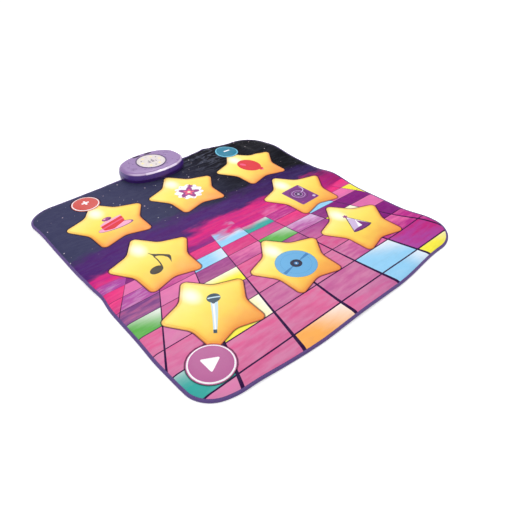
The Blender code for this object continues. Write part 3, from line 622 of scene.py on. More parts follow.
def polar(x, y, radius, angle):
    """Points at a distance and an angle from a point."""
    return np.stack([x + radius * np.cos(angle), y + radius * np.sin(angle)], axis=-1)


def way_round(loop):
    """The distance from an outline's first point to each of its points, and back to the first."""
    steps = np.linalg.norm(np.diff(np.vstack([loop, loop[:1]]), axis=0), axis=1)
    return np.concatenate([[0], np.cumsum(steps)])


def even_steps(loop, count):
    """The same outline with points at even steps along it."""
    closed, along = np.vstack([loop, loop[:1]]), way_round(loop)
    at = np.arange(count) / count * along[-1]
    return np.stack([np.interp(at, along, closed[:, axis]) for axis in (0, 1)], axis=1)


def star_outline(grow):
    """Outline of the star about its own centre: a tip arc turns through twice the swing between
    tangent points, and a valley arc turns back."""
    tip_centre, valley_centre, step = STAR_TIP - TIP_ROUND, STAR_VALLEY + VALLEY_ROUND, math.radians(36)
    across = valley_centre * math.sin(step)
    along = valley_centre * math.cos(step) - tip_centre
    swing = math.atan2(across, along) - math.acos((TIP_ROUND + VALLEY_ROUND) / math.hypot(along, across))
    tips, arc = math.radians(90) + 2 * step * np.arange(5)[:, None], np.linspace(-1, 1, ARC_STEPS)
    tip = polar(0, 0, tip_centre, tips) + polar(0, 0, TIP_ROUND + grow, tips + swing * arc)
    valley = polar(0, 0, valley_centre, tips + step)
    valley = valley + polar(0, 0, VALLEY_ROUND - grow, tips + step + math.pi + (step - swing) * arc)
    return even_steps(np.concatenate([tip, valley], axis=1).reshape(-1, 2), STAR_POINTS)


def ring(radius, count, centre=(0.0, 0.0)):
    """A circle of evenly spaced points."""
    return polar(*centre, radius, angles(count))


STARS = {f"star_pad_{row}_{column}": np.array((i * COLUMN_PITCH, j * ROW_PITCH))
         for j, row in ((1, "rear"), (0, "middle"), (-1, "front"))
         for i, column in ((-1, "left"), (0, "centre"), (1, "right")) if (i, j) != (0, 0)}
DISCS = {"start_pad": ((-0.352, -0.351), 0.051), "volume_up_pad": ((-0.2635, 0.366), 0.0405),
         "volume_down_pad": ((0.2635, 0.366), 0.0405)}
WINDOWS = [star_outline(WINDOW_GAP) + centre for centre in STARS.values()]
WINDOWS += [ring(radius + WINDOW_GAP, 96, centre) for centre, radius in DISCS.values()]
off = max(abs(float(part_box(name)[0][0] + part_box(name)[1][0]) / 2 - centre[0])
          for name, centre in STARS.items() if "rear" not in name and "front_left" not in name)
print(len(STARS), "stars and", len(DISCS), "round pads; star centres are", round(off * 1000, 2),
      "mm from the solids'")

# %% [markdown]
# ## The floor, the light and the background
# A catalogue picture has a white background and soft light from all round. The world gives most
# of the light. One large soft lamp from the rear right makes the cloth and the plastic shine a
# little and throws a faint shadow to the front, a second from the front left fills that side, and
# two small ones make the front bevel of the unit shine. The floor is white, and shows a touch
# brighter to the camera and in reflections, so that it melts into the background but keeps that
# shadow.

# %% Floor and lights
def seen_directly(g):
    """1 for rays from the camera and for mirror and glass rays, and 0 for the light itself."""
    path = g.node("LightPath")
    return g.math("MAXIMUM", path.outputs["Is Camera Ray"],
                  g.math("MAXIMUM", path.outputs["Is Glossy Ray"], path.outputs["Is Transmission Ray"]))


world = bpy.data.worlds.new("studio")
world.use_nodes = True
bpy.context.scene.world = world
world.node_tree.nodes.clear()
g = Graph(world.node_tree)
light = g.plus(0.62, g.times(seen_directly(g), 0.38))
g.node("OutputWorld", [(0, g.node("Background", {"Color": (1, 1, 1, 1), "Strength": light}).outputs[0])])

floor_material, g, shader = new_material("white_floor")
g.surface(shader, g.grey(g.fade(g.noise(g.place(), 8.0, 2.0), 0.2, 0.8, 0.86, 0.88)), 0.9)
shader.inputs["Emission Color"].default_value = (1, 1, 1, 1)
g.put(shader.inputs["Emission Strength"], g.times(seen_directly(g), 0.46))
FLOOR_RADIUS, FLOOR_SIDES, FLOOR_HEIGHT = 6.0, 48, -0.0004
floor = make_object("floor", at_height(ring(FLOOR_RADIUS, FLOOR_SIDES), FLOOR_HEIGHT),
                    [list(range(FLOOR_SIDES))], [floor_material])


def lamp(name, place, aim, size, power):
    """A square soft lamp at a place, turned towards a point."""
    made = bpy.data.objects.new(name, bpy.data.lights.new(name, "AREA"))
    made.data.size, made.data.energy = size, power
    made.location = place
    made.rotation_euler = (Vector(aim) - Vector(place)).to_track_quat("-Z", "Y").to_euler()
    bpy.context.scene.collection.objects.link(made)


lamp("key_lamp", (0.9, 1.6, 2.0), (0, 0, 0), 1.4, 26)
lamp("fill_lamp", (-1.8, -1.2, 1.9), (0, 0, 0), 1.6, 12)
lamp("bevel_lamp", (0.85, -0.25, 1.75), (0, 0.42, 0), 0.5, 4)
lamp("left_bevel_lamp", (-0.72, 0.01, 1.35), (-0.05, 0.37, 0), 0.4, 2.5)
bpy.context.scene.view_settings.view_transform = "Standard"
print("four lamps, white world and floor")

# %% [markdown]
# ## The printed ground: a starry sky over a dance floor
# The real cover is one printed sheet. At the rear it shows a dark sky with small stars, then a
# purple haze, and in front a floor of bright tiles that fans out towards the player. Painting
# it as an image would fix its sharpness, so it is worked out by rules from the flat place on the
# cloth. Lines from a vanishing point and rows that shrink by one factor make the tiles, and each
# tile takes its colours from a random number of its own.

# %% Sky and floor pattern
VANISH_X, VANISH_Y, HORIZON = 0.030, 0.500, 0.205
FAN_STEP, FAN_START, ROW_SHRINK, ROW_START = 0.168, 177.37, 0.872, 28.4
CRUMPLED = (0.175, 0.385, 0)

# A tile's number of 0 to 1 picks its first colour. The bright tiles, between two such numbers, and
# the light ones, above another, run into a nearly white second colour.
BRIGHT_SHARES, LIGHT_SHARE = (0.63, 0.79), 0.92
TILE_COLOURS = [
    (0.00, (214, 40, 122)), (0.15, (218, 70, 140)), (0.29, (128, 32, 120)), (0.38, (184, 48, 138)),
    (0.52, (222, 112, 172)), (0.63, (150, 208, 244)), (0.71, (250, 238, 74)), (0.79, (172, 70, 160)),
    (0.86, (84, 36, 120)), (0.92, (100, 178, 84)), (0.95, (252, 176, 92)), (0.975, (60, 168, 160)),
]
TILE_SECOND = [
    (0.00, (238, 54, 130)), (0.24, (142, 36, 132)), (0.46, (240, 120, 176)), (0.62, (88, 34, 124)),
    (0.76, (222, 190, 230)), (0.84, (196, 36, 118)), (0.93, (236, 224, 246)),
]


def dance_floor(g, x, y):
    """Tile colours and the dark lines between them; the tiles at the near left are paled by a painted
    reflection.

    A tile's column is its angle about the vanishing point, and its row is the logarithm of its
    distance below the horizon."""
    depth, below = g.minus(VANISH_Y, y), g.math("MAXIMUM", g.minus(HORIZON, y), 0.002)
    column = g.plus(g.math("DIVIDE", g.math("DIVIDE", g.minus(x, VANISH_X), depth), FAN_STEP), FAN_START)
    row = g.plus(g.math("DIVIDE", g.math("LOGARITHM", below, math.e), math.log(ROW_SHRINK)), ROW_START)
    tile = g.flat_vector(g.math("FLOOR", column), g.math("FLOOR", row))
    dice = g.node("TexWhiteNoise", {"Vector": tile}, noise_dimensions="2D").outputs
    parts = g.node("SeparateColor", [(0, dice["Color"])]).outputs
    light = g.math("GREATER_THAN", dice["Value"], LIGHT_SHARE)
    pale = g.plus(g.between(dice["Value"], *BRIGHT_SHARES), light)
    by_pale = lambda plain, bright: g.fade(pale, 0, 1, plain, bright)
    second = g.mix(pale, g.ramp(parts[0], TILE_SECOND, "CONSTANT"), (254, 250, 252))
    across, down = g.math("FRACT", column), g.math("FRACT", row)
    slope = g.plus(g.times(across, parts[1]), g.times(down, g.minus(1.0, parts[1])))
    amount = g.times(g.fade(slope, by_pale(0.05, 0.42), by_pale(0.95, 1.1)),
                     g.fade(parts[2], 0.15, 0.85, by_pale(0.0, 0.6), 0.9))
    brush = g.noise(g.flat_vector(column, row), 2.2, 3.0, 0.55, (1.0, 2.2, 1.0))
    amount = g.plus(amount, g.times(g.fade(brush, 0.32, 0.72, -0.24, 0.34), by_pale(1.0, 0.12)), clamp=True)
    tiles = g.mix(amount, g.ramp(dice["Value"], TILE_COLOURS, "CONSTANT"), second)
    # a painted reflection: the near left tiles paled towards pink
    soft = g.times(g.fade(y, 0.02, -0.28, 0.0, 0.9), g.fade(x, 0.32, 0.08),
                   g.fade(brush, 0.30, 0.70, 0.50, 1.0), g.minus(1.0, pale, clamp=True))
    tiles = g.mix(soft, tiles, (212, 136, 174))
    lines = []
    for part, size, power, half in ((across, g.times(depth, FAN_STEP), 3.0, 0.0054),
                                    (down, g.times(below, -math.log(ROW_SHRINK)), 2.5, 0.0026)):
        gap = g.times(g.math("MINIMUM", part, g.minus(1.0, part)), size)
        gap = g.minus(gap, g.times(g.math("POWER", depth, power), half))
        lines.append(g.fade(gap, 0.0004, -0.0004))
    line = g.times(g.math("MAXIMUM", *lines), g.fade(y, 0.04, -0.10, 0.35, 1.0))
    return g.mix(line, tiles, (48, 22, 66))


def starry_sky(g, place, x):
    """A dark slate sky, lighter and patchier on the left as a painted reflection and nearly black on the
    right as painted shade, with small stars in a few sizes.
    """
    # painted reflection: lighter and patchier on the left; painted shade: nearly black on the right
    sky = g.mix(g.fade(x, -0.22, 0.24), (60, 61, 90), (8, 7, 12))
    sky = g.mix(g.times(g.noise(place, 5.0, 3.0), g.fade(x, -0.2, 0.2, 0.28, 0.06)), sky, (62, 62, 104))
    for scale, size, share in ((19.0, 0.045, 0.45), (34.0, 0.040, 0.30)):
        spots = g.node("TexVoronoi", {"Vector": place, "Scale": scale}, voronoi_dimensions="2D").outputs
        pick = g.node("SeparateColor", [(0, spots["Color"])]).outputs
        dot = g.times(g.fade(spots["Distance"], size, size * 0.35), g.math("LESS_THAN", pick[0], share),
                      g.fade(pick[1], 0.0, 1.0, 0.35, 1.0))
        sky = g.mix(dot, sky, g.mix(pick[2], (255, 214, 236), (255, 255, 255)))
    return sky


def printed_ground():
    """The print of the whole cover: the sky, the haze and the floor, one below the other. Painted shade
    darkens it towards the right and round the pads, painted highlights lie on the creases near the unit, and
    a painted reflection pales the near left tiles.
    """
    material, g, shader = new_material("printed_ground")
    place = flat_place(g)
    x, y, _ = g.axes(place)
    level = g.plus(y, g.fade(g.noise(place, 4.2, 4.0, 0.6, (1.0, 2.6, 1.0)), 0.25, 0.75, -0.035, 0.035))
    streak = g.noise(place, 16.0, 3.0, 0.6, (0.5, 5.0, 1.0))
    # the haze and the glow darken towards the right as painted shade
    haze = g.mix(g.fade(x, -0.1, 0.42), (78, 34, 106), (42, 20, 74))
    haze = g.mix(g.fade(streak, 0.35, 0.75, 0.0, 0.35), haze, (72, 56, 128))
    glow = g.mix(g.fade(x, 0.24, 0.42), (226, 44, 124), (156, 30, 96))
    glow = g.mix(g.fade(streak, 0.3, 0.7, 0.0, 0.55), glow, (150, 36, 134))
    colour = g.mix(g.fade(level, 0.150, 0.100), starry_sky(g, place, x), haze)
    colour = g.mix(g.fade(level, 0.062, 0.030), colour, glow)
    colour = g.mix(g.fade(level, 0.006, -0.030), colour, dance_floor(g, x, y))
    # painted highlights: the crease ridges near the unit lightened towards grey blue
    ridge = g.math("ABSOLUTE", g.minus(g.noise(place, 26.0, 3.0, 0.55, (0.35, 1.3, 1.0)), 0.5))
    near = g.fade(g.apart(place, CRUMPLED), 0.13, 0.03)
    wear_and_painted_highlight = g.times(g.fade(ridge, 0.060, 0.0), g.math("MULTIPLY_ADD", near, 0.30, 0.05))
    colour = g.mix(wear_and_painted_highlight, colour, (112, 116, 138))
    # a dark seam line round each window, widened into painted shade from the raised pad
    seam = g.fade(g.point_value("from_window"), 0.0042, 0.0008, 0.0, 0.85)
    colour = g.mix(seam, colour, (20, 10, 30))
    crumple = g.times(g.fade(ridge, 0.09, 0.0), g.math("MULTIPLY_ADD", near, 3.6, 0.4))
    coat(g, shader, colour, crumple=crumple, polish=0.08, shine=0.012)
    return material


GROUND = printed_ground()
print("printed ground:", len(GROUND.node_tree.nodes), "nodes")

# %% [markdown]
# ## The sheets of the mat
# From the floor up there are a backing cloth, a foam sheet, a printed film, a foam spacer, a second film and
# the cover. Each is one sheet on the real mat, so each is one piece here, with extra rows of points through
# the crease between the front and middle rows of pads. Only the backing and the cover show; the others are
# plainer. The flat cut size is that of the outline inside the binding.

# %% Sheets
def foam_material(name, colour, scale):
    """Foam: fine open cells that darken its colour a little."""
    material, g, shader = new_material(name)
    cells = g.node("TexVoronoi", {"Vector": flat_place(g), "Scale": scale})
    g.surface(shader, g.mix(cells.outputs[0], dimmed(colour), colour), 0.85)
    g.bump(shader, cells.outputs[0], 0.5, 0.0004)
    return material


def backing_material():
    """Dark non-slip backing: a cloth with a regular grid of small rubber dots."""
    material, g, shader = new_material("backing_cloth")
    place = flat_place(g)
    tile = g.node("VectorMath", [(0, place), (1, (250, 250, 1))], operation="MULTIPLY").outputs[0]
    cell = g.node("VectorMath", [(0, tile)], operation="FRACTION").outputs[0]
    dot = g.fade(g.apart(cell, (0.5, 0.5, 0)), 0.34, 0.24)
    fleece = g.noise(place, 700.0, 3.0, 0.6)
    colour = g.mix(fleece, (30, 28, 38), (52, 48, 62))
    g.surface(shader, g.mix(dot, colour, (24, 23, 28)), g.fade(dot, 0.0, 1.0, 0.9, 0.55))
    g.bump(shader, g.plus(g.times(dot, 0.8), g.times(fleece, 0.3)), 0.6, 0.0005)
    return material


LAYER_INSET, COVER_TOP, FOLD_ROWS, FOLD_POINTS = 0.0013, 0.0080, 9, 141
COVER_SPACING, LAYER_SPACING = 0.0060, 0.016


def fold_lines(outer):
    """Extra rows of points through the crease, so that it bends smoothly."""
    rows = np.linspace(-FOLD_HALF, FOLD_HALF, FOLD_ROWS) + FOLD_Y
    ends = outer[np.abs(outer[:, 1] - FOLD_Y) < 1.2 * FOLD_HALF, 0]
    x = np.linspace(ends[ends < 0].max() + 0.0015, ends[ends > 0].min() - 0.0015, FOLD_POINTS)
    row = lambda places, y: np.column_stack([places, np.full(FOLD_POINTS, y)])
    return [np.concatenate([row(x, low), row(x[::-1], high)]) for low, high in zip(rows[:-1:2], rows[1::2])]


def area_of(loop):
    """The area inside an outline, by the shoelace formula."""
    x, y = loop.T
    return 0.5 * abs(float(np.sum(x * np.roll(y, -1) - np.roll(x, -1) * y)))


def sheet_piece(name, nodes, low, high, inset, windows, material, spacing):
    """A slab between two heights above the floor, pressed together near the edge and raised by
    the lift at every point."""
    in_fold = np.abs(edge[:, 1] - FOLD_Y) < 1.6 * FOLD_HALF
    outer = (edge - inset * outward)[in_fold | (np.arange(len(edge)) % 4 == 0)]
    screw_hole = 0.0053 if "backing" in name else 0.0018
    windows = [*windows, *(ring(screw_hole, 28, (x, MAT_SCREW_Y)) for x in (-MAT_SCREW_X, MAT_SCREW_X))]
    flat, triangles = plane_mesh(outer, windows, fold_lines(outer), spacing)
    rise, share = lift(*flat.T), pressed(*flat.T, distance_to([edge[::4]], flat))
    points, faces = slab(flat, triangles, high * share + rise, low * share + rise)
    from_window = np.ones(len(flat))
    if material is GROUND:
        from_window = distance_to([window[::4] for window in WINDOWS], flat)
    made = make_object(name, points, faces, [material], maps=[("flat", np.tile(flat, (2, 1)))],
                       values=[("from_window", np.tile(from_window, 2))])
    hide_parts(*nodes)
    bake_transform(made)
    span = outer.max(axis=0) - outer.min(axis=0)
    print(name, "cut", np.round(span, 3), "m,", len(faces), "faces")
    return made, tuple(span.tolist()), area_of(outer) - sum(area_of(window) for window in windows)


POCKET = 0.0033
POCKETS = [star_outline(POCKET)[::6] + centre for centre in STARS.values()]
POCKETS += [ring(radius + POCKET, 60, centre) for centre, radius in DISCS.values()]
WHITE_FOAM = foam_material("white_foam", (226, 226, 228), 900.0)
FILM = ink("sensor_film", (196, 200, 206), 0.2)

# Each layer: name, underside, top, inset from the edge, windows, material and slot
BELOW = [("backing_sheet", 0.0, 0.0010, 0.0061, [], backing_material(), "backing"),
         ("base_foam", 0.0013, 0.0037, LAYER_INSET, [], WHITE_FOAM, "foam"),
         ("lower_sensor_film", 0.0040, 0.0044, LAYER_INSET, [], FILM, "sensor_film"),
         ("spacer_foam", 0.0047, 0.0061, LAYER_INSET, POCKETS, WHITE_FOAM, "foam"),
         ("upper_sensor_film", 0.0064, 0.0068, LAYER_INSET, POCKETS, FILM, "sensor_film")]
print(len(BELOW), "layers below the cover")

# %% Make the sheets
cover, cover_cut, cover_area = sheet_piece(
    "printed_cover_sheet", ("printed_cover", "printed_cover_front"), 0.0071, COVER_TOP, LAYER_INSET,
    WINDOWS, GROUND, COVER_SPACING)
for name, low, high, inset, windows, material, slot in BELOW:
    made, cut, area = sheet_piece(f"{name}_piece", (name, f"{name}_front"), low, high, inset,
                                  windows, material, LAYER_SPACING)

# %% [markdown]
# ## The binding round the edge
# A woven tape is folded over the edge of all the layers and sewn through. It is a U-shaped
# section carried along the edge path. Its top swells a little and is drawn down along the seam,
# and the seam puckers it in short ripples. The stitches are small rounded threads, one shape
# placed many times.

# %% Binding tape
SEAM_INSET, STITCH_PITCH, RIB_PITCH = 0.0046, 0.0042, 0.0011


def tape_material():
    """Woven tape: fine ribs across its width and a soft sheen."""
    material, g, shader = new_material("binding_tape")
    place = flat_place(g)
    rib = g.math("SINE", g.times(g.axes(place)[0], 2 * math.pi / RIB_PITCH))
    wear_and_painted_highlight = g.noise(place, 60.0, 3.0, 0.6)
    colour = g.mix(g.fade(wear_and_painted_highlight, 0.25, 0.75), (62, 30, 104), (78, 46, 124))
    g.surface(shader, g.mix(g.fade(rib, -1.0, 1.0, 0.0, 0.35), colour, (48, 22, 86)),
              g.fade(wear_and_painted_highlight, 0.2, 0.8, 0.42, 0.58))
    g.bump(shader, rib, 0.35, 0.00012)
    shader.inputs["Sheen Weight"].default_value = 0.25
    shader.inputs["Sheen Tint"].default_value = paint(190, 160, 230)
    return material


def tape_section():
    """The U of the tape as a closed outline of inset and height, written in millimetres.

    Quarter circles of 1.6 mm round its outer corners; the top is drawn down at the seam."""
    turn, r = np.linspace(0, math.pi / 2, 6), 1.6
    low_corner = np.column_stack([r - r * np.sin(turn), r - r * np.cos(turn)])
    high_corner = np.column_stack([r - r * np.cos(turn), 7.7 + r * np.sin(turn)])
    side = np.array([(-0.12, 3.4), (-0.15, 4.7), (-0.12, 6.0)])
    top = np.array([(2.5, 9.24), (3.4, 9.06), (4.1, 8.86), (4.6, 8.78), (5.1, 8.86), (5.7, 8.90)])
    inner = np.array([(6.0, 8.7), (6.0, 8.3), (1.3, 8.3), (1.0, 8.0), (1.0, 1.3), (1.3, 1.0), (6.0, 1.0)])
    start = np.array([(6.0, 0.3), (5.7, 0.0), (3.4, 0.0)])
    return np.concatenate([start, low_corner, side, high_corner, top, inner]) / 1000


def binding_tape():
    """The section carried along the edge; small ripples follow the seam."""
    section = tape_section()
    along, width = way_round(edge), way_round(section)
    inset, height = section.T
    near_seam = np.exp(-((inset - SEAM_INSET) / 0.0012) ** 2) * (height > 0.0085)
    turn = 2 * math.pi * along[:-1, None]
    ripple = np.sin(turn / 0.0088) + 0.6 * np.sin(turn / 0.0231)
    plan = edge[:, None] - inset[None, :, None] * outward[:, None]
    x, y = plan[..., 0], plan[..., 1]
    z = height * pressed(x, y, inset) + lift(x, y) + 0.00010 * ripple * near_seam
    points = np.concatenate([plan, z[..., None]], axis=2).reshape(-1, 3)
    places = np.stack(np.meshgrid(along, width, indexing="ij"), axis=2)
    flat = np.stack([places[:-1, :-1], places[1:, :-1], places[1:, 1:], places[:-1, 1:]], axis=2)
    return points, grid_faces(*z.shape, loop=True), flat.reshape(-1, 2), along[-1], width[-1]


points, faces, flat, tape_length, tape_width = binding_tape()
tape = make_object("edge_binding_tape", points, faces, [tape_material()], maps=[("flat", flat)], sharp=70)
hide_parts("edge_binding", "edge_binding_front")
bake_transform(tape)
print("tape", round(tape_length, 3), "m long,", round(tape_width * 1000, 1), "mm round its section,",
      len(faces), "faces")

# %% Stitches
STITCH_HEIGHT, STITCH_LENGTH, STITCH_RADIUS = 0.00886, 0.0031, 0.00028


def capsule(length, radius):
    """A short thread along X with rounded ends: six-sided rings whose radius follows an arch."""
    along = np.array([-0.5, -0.42, -0.2, 0.2, 0.42, 0.5]) * length
    size = radius * np.array([0.05, 0.65, 1.0, 1.0, 0.65, 0.05])
    across = polar(0, 0, size[:, None], angles(6))
    points = np.concatenate([np.broadcast_to(along[:, None, None], (6, 6, 1)), across], axis=2)
    return points.reshape(-1, 3), grid_faces(6, 6)[:, [0, 3, 2, 1]]


def repeat(points, faces, places, ahead):
    """Copies of one shape at many places in the plane, each turned to its own direction."""
    side = np.stack([-ahead[:, 1], ahead[:, 0]], axis=1)
    plan = places[:, None, :2] + points[None, :, :1] * ahead[:, None] + points[None, :, 1:2] * side[:, None]
    z = places[:, 2:3] + points[None, :, 2]
    shift = len(points) * np.arange(len(places))
    made = faces[None] + shift[:, None, None]
    return np.concatenate([plan, z[..., None]], axis=2).reshape(-1, 3), made.reshape(-1, faces.shape[1])


seam, seam_out = edge_frame(int(tape_length / STITCH_PITCH))
seam = seam - SEAM_INSET * seam_out
shown = ~((np.abs(seam[:, 0]) < 0.110) & (seam[:, 1] > 0.38))
seam, seam_out = seam[shown], seam_out[shown]
ahead = np.stack([-seam_out[:, 1], seam_out[:, 0]], axis=1)
places = at_height(seam, STITCH_HEIGHT * pressed(*seam.T, SEAM_INSET) + lift(*seam.T))
points, faces = repeat(*capsule(STITCH_LENGTH, STITCH_RADIUS), places, ahead)
thread, g, shader = new_material("seam_thread")
g.surface(shader, g.mix(g.noise(g.place(), 1800.0, 2.0), (96, 62, 140), (126, 92, 168)), 0.55)
stitches = make_object("binding_stitches", points, faces, [thread])
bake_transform(stitches)
print(len(places), "stitches,", len(faces), "faces")

# %% [markdown]
# ## Printed pictures for the pads
# Each pad carries one simple sign of a party or of music. A sign is a list of closed outlines in
# the plane of its pad, painted in order, so that a later one covers an earlier one. Ovals, thick
# strokes and rounded shapes are enough for all of them. Their outlines become edges of the pad's
# own mesh, so the print stays sharp and lies in the pad's surface.

# %% Drawing tools
def oval(x, y, a, b, turn=0.0, count=72):
    """An ellipse about a point, turned by an angle in degrees."""
    t, r = angles(count), math.radians(turn)
    px, py = a * np.cos(t), b * np.sin(t)
    return np.stack([x + px * math.cos(r) - py * math.sin(r),
                     y + px * math.sin(r) + py * math.cos(r)], axis=1)


def rounded(points, radius, steps=8):
    """A polygon whose corners are replaced by parabolas that start and end at a set distance."""
    points = np.array(points, float)
    to_last, to_next = np.roll(points, 1, axis=0) - points, np.roll(points, -1, axis=0) - points
    length = lambda d: np.linalg.norm(d, axis=1)[:, None]
    reach = lambda d: np.minimum(radius, 0.48 * length(d)) * d / length(d)
    start, end = points + reach(to_last), points + reach(to_next)
    t = np.linspace(0, 1, steps)[None, :, None]
    bend = (1 - t) ** 2 * start[:, None] + 2 * t * (1 - t) * points[:, None] + t ** 2 * end[:, None]
    return bend.reshape(-1, 2)


def stroke(points, widths):
    """A line of changing width: a smooth path through the points, offset to both sides."""
    points, at = np.array(points, float), np.linspace(0, 1, 40)
    knots = np.linspace(0, 1, len(points))
    order = min(3, len(points) - 1)
    path = np.stack([np.polyval(np.polyfit(knots, points[:, k], order), at) for k in (0, 1)], axis=1)
    ahead = np.gradient(path, axis=0)
    side = np.stack([-ahead[:, 1], ahead[:, 0]], axis=1) / np.linalg.norm(ahead, axis=1)[:, None]
    half = np.interp(at, np.linspace(0, 1, len(widths)), widths)[:, None] / 2
    return np.concatenate([path + side * half, (path - side * half)[::-1]])


def wavy(x, y, radius, petals, depth, turn=0.0):
    """A round shape whose radius swings in and out, for a flower or a splash."""
    t = angles(120)
    return polar(x, y, radius * (1 + depth * np.cos(petals * t + math.radians(turn))), t)


def ovals(x, y, *sizes, count=72):
    """Upright ellipses about one point, for rows of half width, half height and ink."""
    return [(oval(x, y, a, b, count=count), colour) for a, b, colour in sizes]


def quad(x0, y0, x1, y1):
    """The corners of a rectangle."""
    return np.array([(x0, y0), (x1, y0), (x1, y1), (x0, y1)])


INKS = {name: ink(f"ink_{name}", colour) for name, colour in {
    "white": (250, 246, 250), "red": (216, 34, 48), "rose": (232, 84, 128), "pink": (246, 170, 200),
    "purple": (120, 40, 128), "deep_purple": (74, 26, 88), "lilac": (206, 184, 222), "olive": (58, 50, 36),
    "sky": (104, 172, 220), "deep_sky": (66, 128, 184), "navy": (34, 34, 62), "pale_blue": (196, 222, 236),
    "slate": (52, 76, 92), "cream": (250, 240, 196), "plum": (150, 56, 130)}.items()}
print(len(INKS), "inks")

# %% Pictures
PICTURES = {
    "star_pad_rear_left": [  # a slice of cake on a plate
        (oval(0, -30, 50, 14, -4), "purple"), (oval(-2, -29.5, 47, 12, -4), "pink"),
        (rounded([(-35, -8), (36, 8), (32, -20), (-10, -38), (-34, -31)], 5), "red"),
        (rounded([(-35, -18), (35, -3), (34, -9), (-35, -24)], 2), "rose"),
        (rounded([(-35, -8), (36, 8), (37, 14), (-18, 7), (-34, -2)], 4), "pink"),
        (oval(-4, 17, 14, 9, 6), "plum"), (oval(-9, 20, 4.5, 2.4, 12), "pink"),
        (oval(3, 14, 5, 3), "deep_purple")],
    "star_pad_rear_centre": [  # a flower on a splash of white
        (wavy(2, -7, 41, 11, 0.09, 30), "white"),
        *[(oval(x, y, 2.6, 2.6, count=20), "pink") for x, y in polar(2, -7, 38, angles(9) + 0.3)],
        (wavy(0, -10, 25, 5, 0.32, 90), "plum"), (wavy(0, -10, 13, 5, 0.32, 90), "rose"),
        (oval(0, -10, 5, 5), "cream"), (wavy(24, 18, 8, 5, 0.28, 20), "plum"),
        (wavy(-26, -22, 6, 5, 0.28, 60), "plum")],
    "star_pad_rear_right": [  # a balloon
        (oval(-1, 4, 34, 44, 8), "red"), (rounded([(20, -28), (8, -36), (6, -48), (26, -38)], 4), "red"),
        (oval(16, -46, 5, 3, 30, 24), "rose"), (oval(-14, 20, 6, 12, 18), "rose")],
    "star_pad_middle_left": [  # a quaver
        (oval(-21, -35, 19, 13, 14), "olive"),
        (stroke([(-5, -36), (1, -12), (2, 14)], (3.6, 3.2)), "olive"),
        (rounded([(-3, 40), (4, 27), (15, 18), (37, -3), (36, -12), (23, -34), (28, -12), (22, 2), (12, 11),
                  (1, 13), (2, 20)], 4), "olive")],
    "star_pad_middle_right": [  # a record deck
        (rounded([(-49, 30), (25, 34), (28, -56), (-45, -60)], 5), "purple"),
        *ovals(-13, -8, (29, 29, "deep_purple"), (27, 27, "purple"), (21, 21, "lilac"),
               (19.6, 19.6, "purple"), (13, 13, "lilac"), (11.8, 11.8, "deep_purple"), (4, 4, "lilac")),
        (stroke([(20, 24), (18, 4), (2, -4)], (3, 3)), "lilac"),
        (oval(17, -44, 5, 5), "lilac"), (oval(-34, -48, 5, 3), "plum")],
    "star_pad_front_left": [  # a microphone
        (stroke([(14, 14), (-14, -26), (-42, -62)], (17, 12, 7.5)), "pale_blue"),
        (stroke([(10, 12), (-14, -24), (-38, -58)], (5, 4, 2.5)), "white"),
        (stroke([(-37, -56), (-40, -60), (-43, -64)], (8, 8)), "slate"),
        (oval(20, 24, 16.5, 15), "slate"), (stroke([(8, 31), (20, 26), (34, 18)], (4, 4)), "pale_blue"),
        (oval(12, 13.5, 6, 4.4, 45), "slate")],
    "star_pad_front_centre": [  # a record
        *ovals(-4, -11, (54, 53, "deep_sky"), (53, 52, "sky"), (40, 39, "deep_sky"), (39.5, 38.5, "sky")),
        (rounded([(-52, -26), (-4, -11), (-55, -17)], 1), "deep_sky"),
        (rounded([(44, 3), (-4, -11), (47, -6)], 1), "deep_sky"),
        *ovals(-4, -11, (15.5, 15, "navy"), (6, 6, "deep_sky"), (2, 2, "white"))],
    "star_pad_front_right": [  # a party hat
        (rounded([(-44, -20), (28, -22), (-4, 48)], 4), "deep_purple"),
        (rounded([(-40, -17), (24, -19), (-4, 42)], 4), "white"),
        (rounded([(-33, -6), (-41, -18), (-20, -19), (6, 20), (-4, 34), (-8, 34)], 2), "lilac"),
        (rounded([(-2, -19), (24, -19), (12, 2), (4, 14)], 2), "purple"),
        (oval(-8, -20, 36, 7.5, -1), "deep_purple"), (oval(-8, -18.5, 31, 4.6, -1), "purple"),
        (wavy(-4, 46, 6.5, 6, 0.22), "plum")],
    "start_pad": [  # a play sign
        *ovals(0, 0, (49, 49, "white"), (45.6, 45.6, "start"), count=120),
        (rounded([(-14, 21), (-14, -21), (23, 0)], 6), "white")],
    "volume_up_pad": [  # a plus
        *ovals(0, 0, (38.8, 38.8, "white"), (36, 36, "up"), count=120),
        (rounded([(-3, 3), (-11, 3), (-11, -3), (-3, -3), (-3, -11), (3, -11), (3, -3), (11, -3), (11, 3),
                  (3, 3), (3, 11), (-3, 11)], 0.8, 4), "white")],
    "volume_down_pad": [  # a minus
        *ovals(0, 0, (38.8, 38.8, "ice"), (36, 36, "down"), count=120),
        (rounded([(-12, 3), (-12, -3), (12, -3), (12, 3)], 0.8, 4), "white")],
}
INKS.update(start=ink("ink_mauve", (184, 102, 154)), up=ink("ink_tomato", (206, 84, 78)),
            down=ink("ink_teal_blue", (4, 118, 148)), ice=ink("ink_ice", (132, 208, 236)))
print(sum(len(shapes) for shapes in PICTURES.values()), "printed shapes on", len(PICTURES), "pads")

# %% [markdown]
# ## The pads
# A pad is a low cushion: foam below the same coated cloth, closed round its edge by a narrow
# welded rim. Real cloth over foam rises steeply from the rim and is nearly flat on top, and it
# has no creases along the star's ribs. The plain distance to the edge would give such creases, so the
# height follows a smoothed distance, which sums the whole edge's nearness. The yellow print is
# painted pale at the far tips and orange at the near ones, as if lit from behind the sound unit.

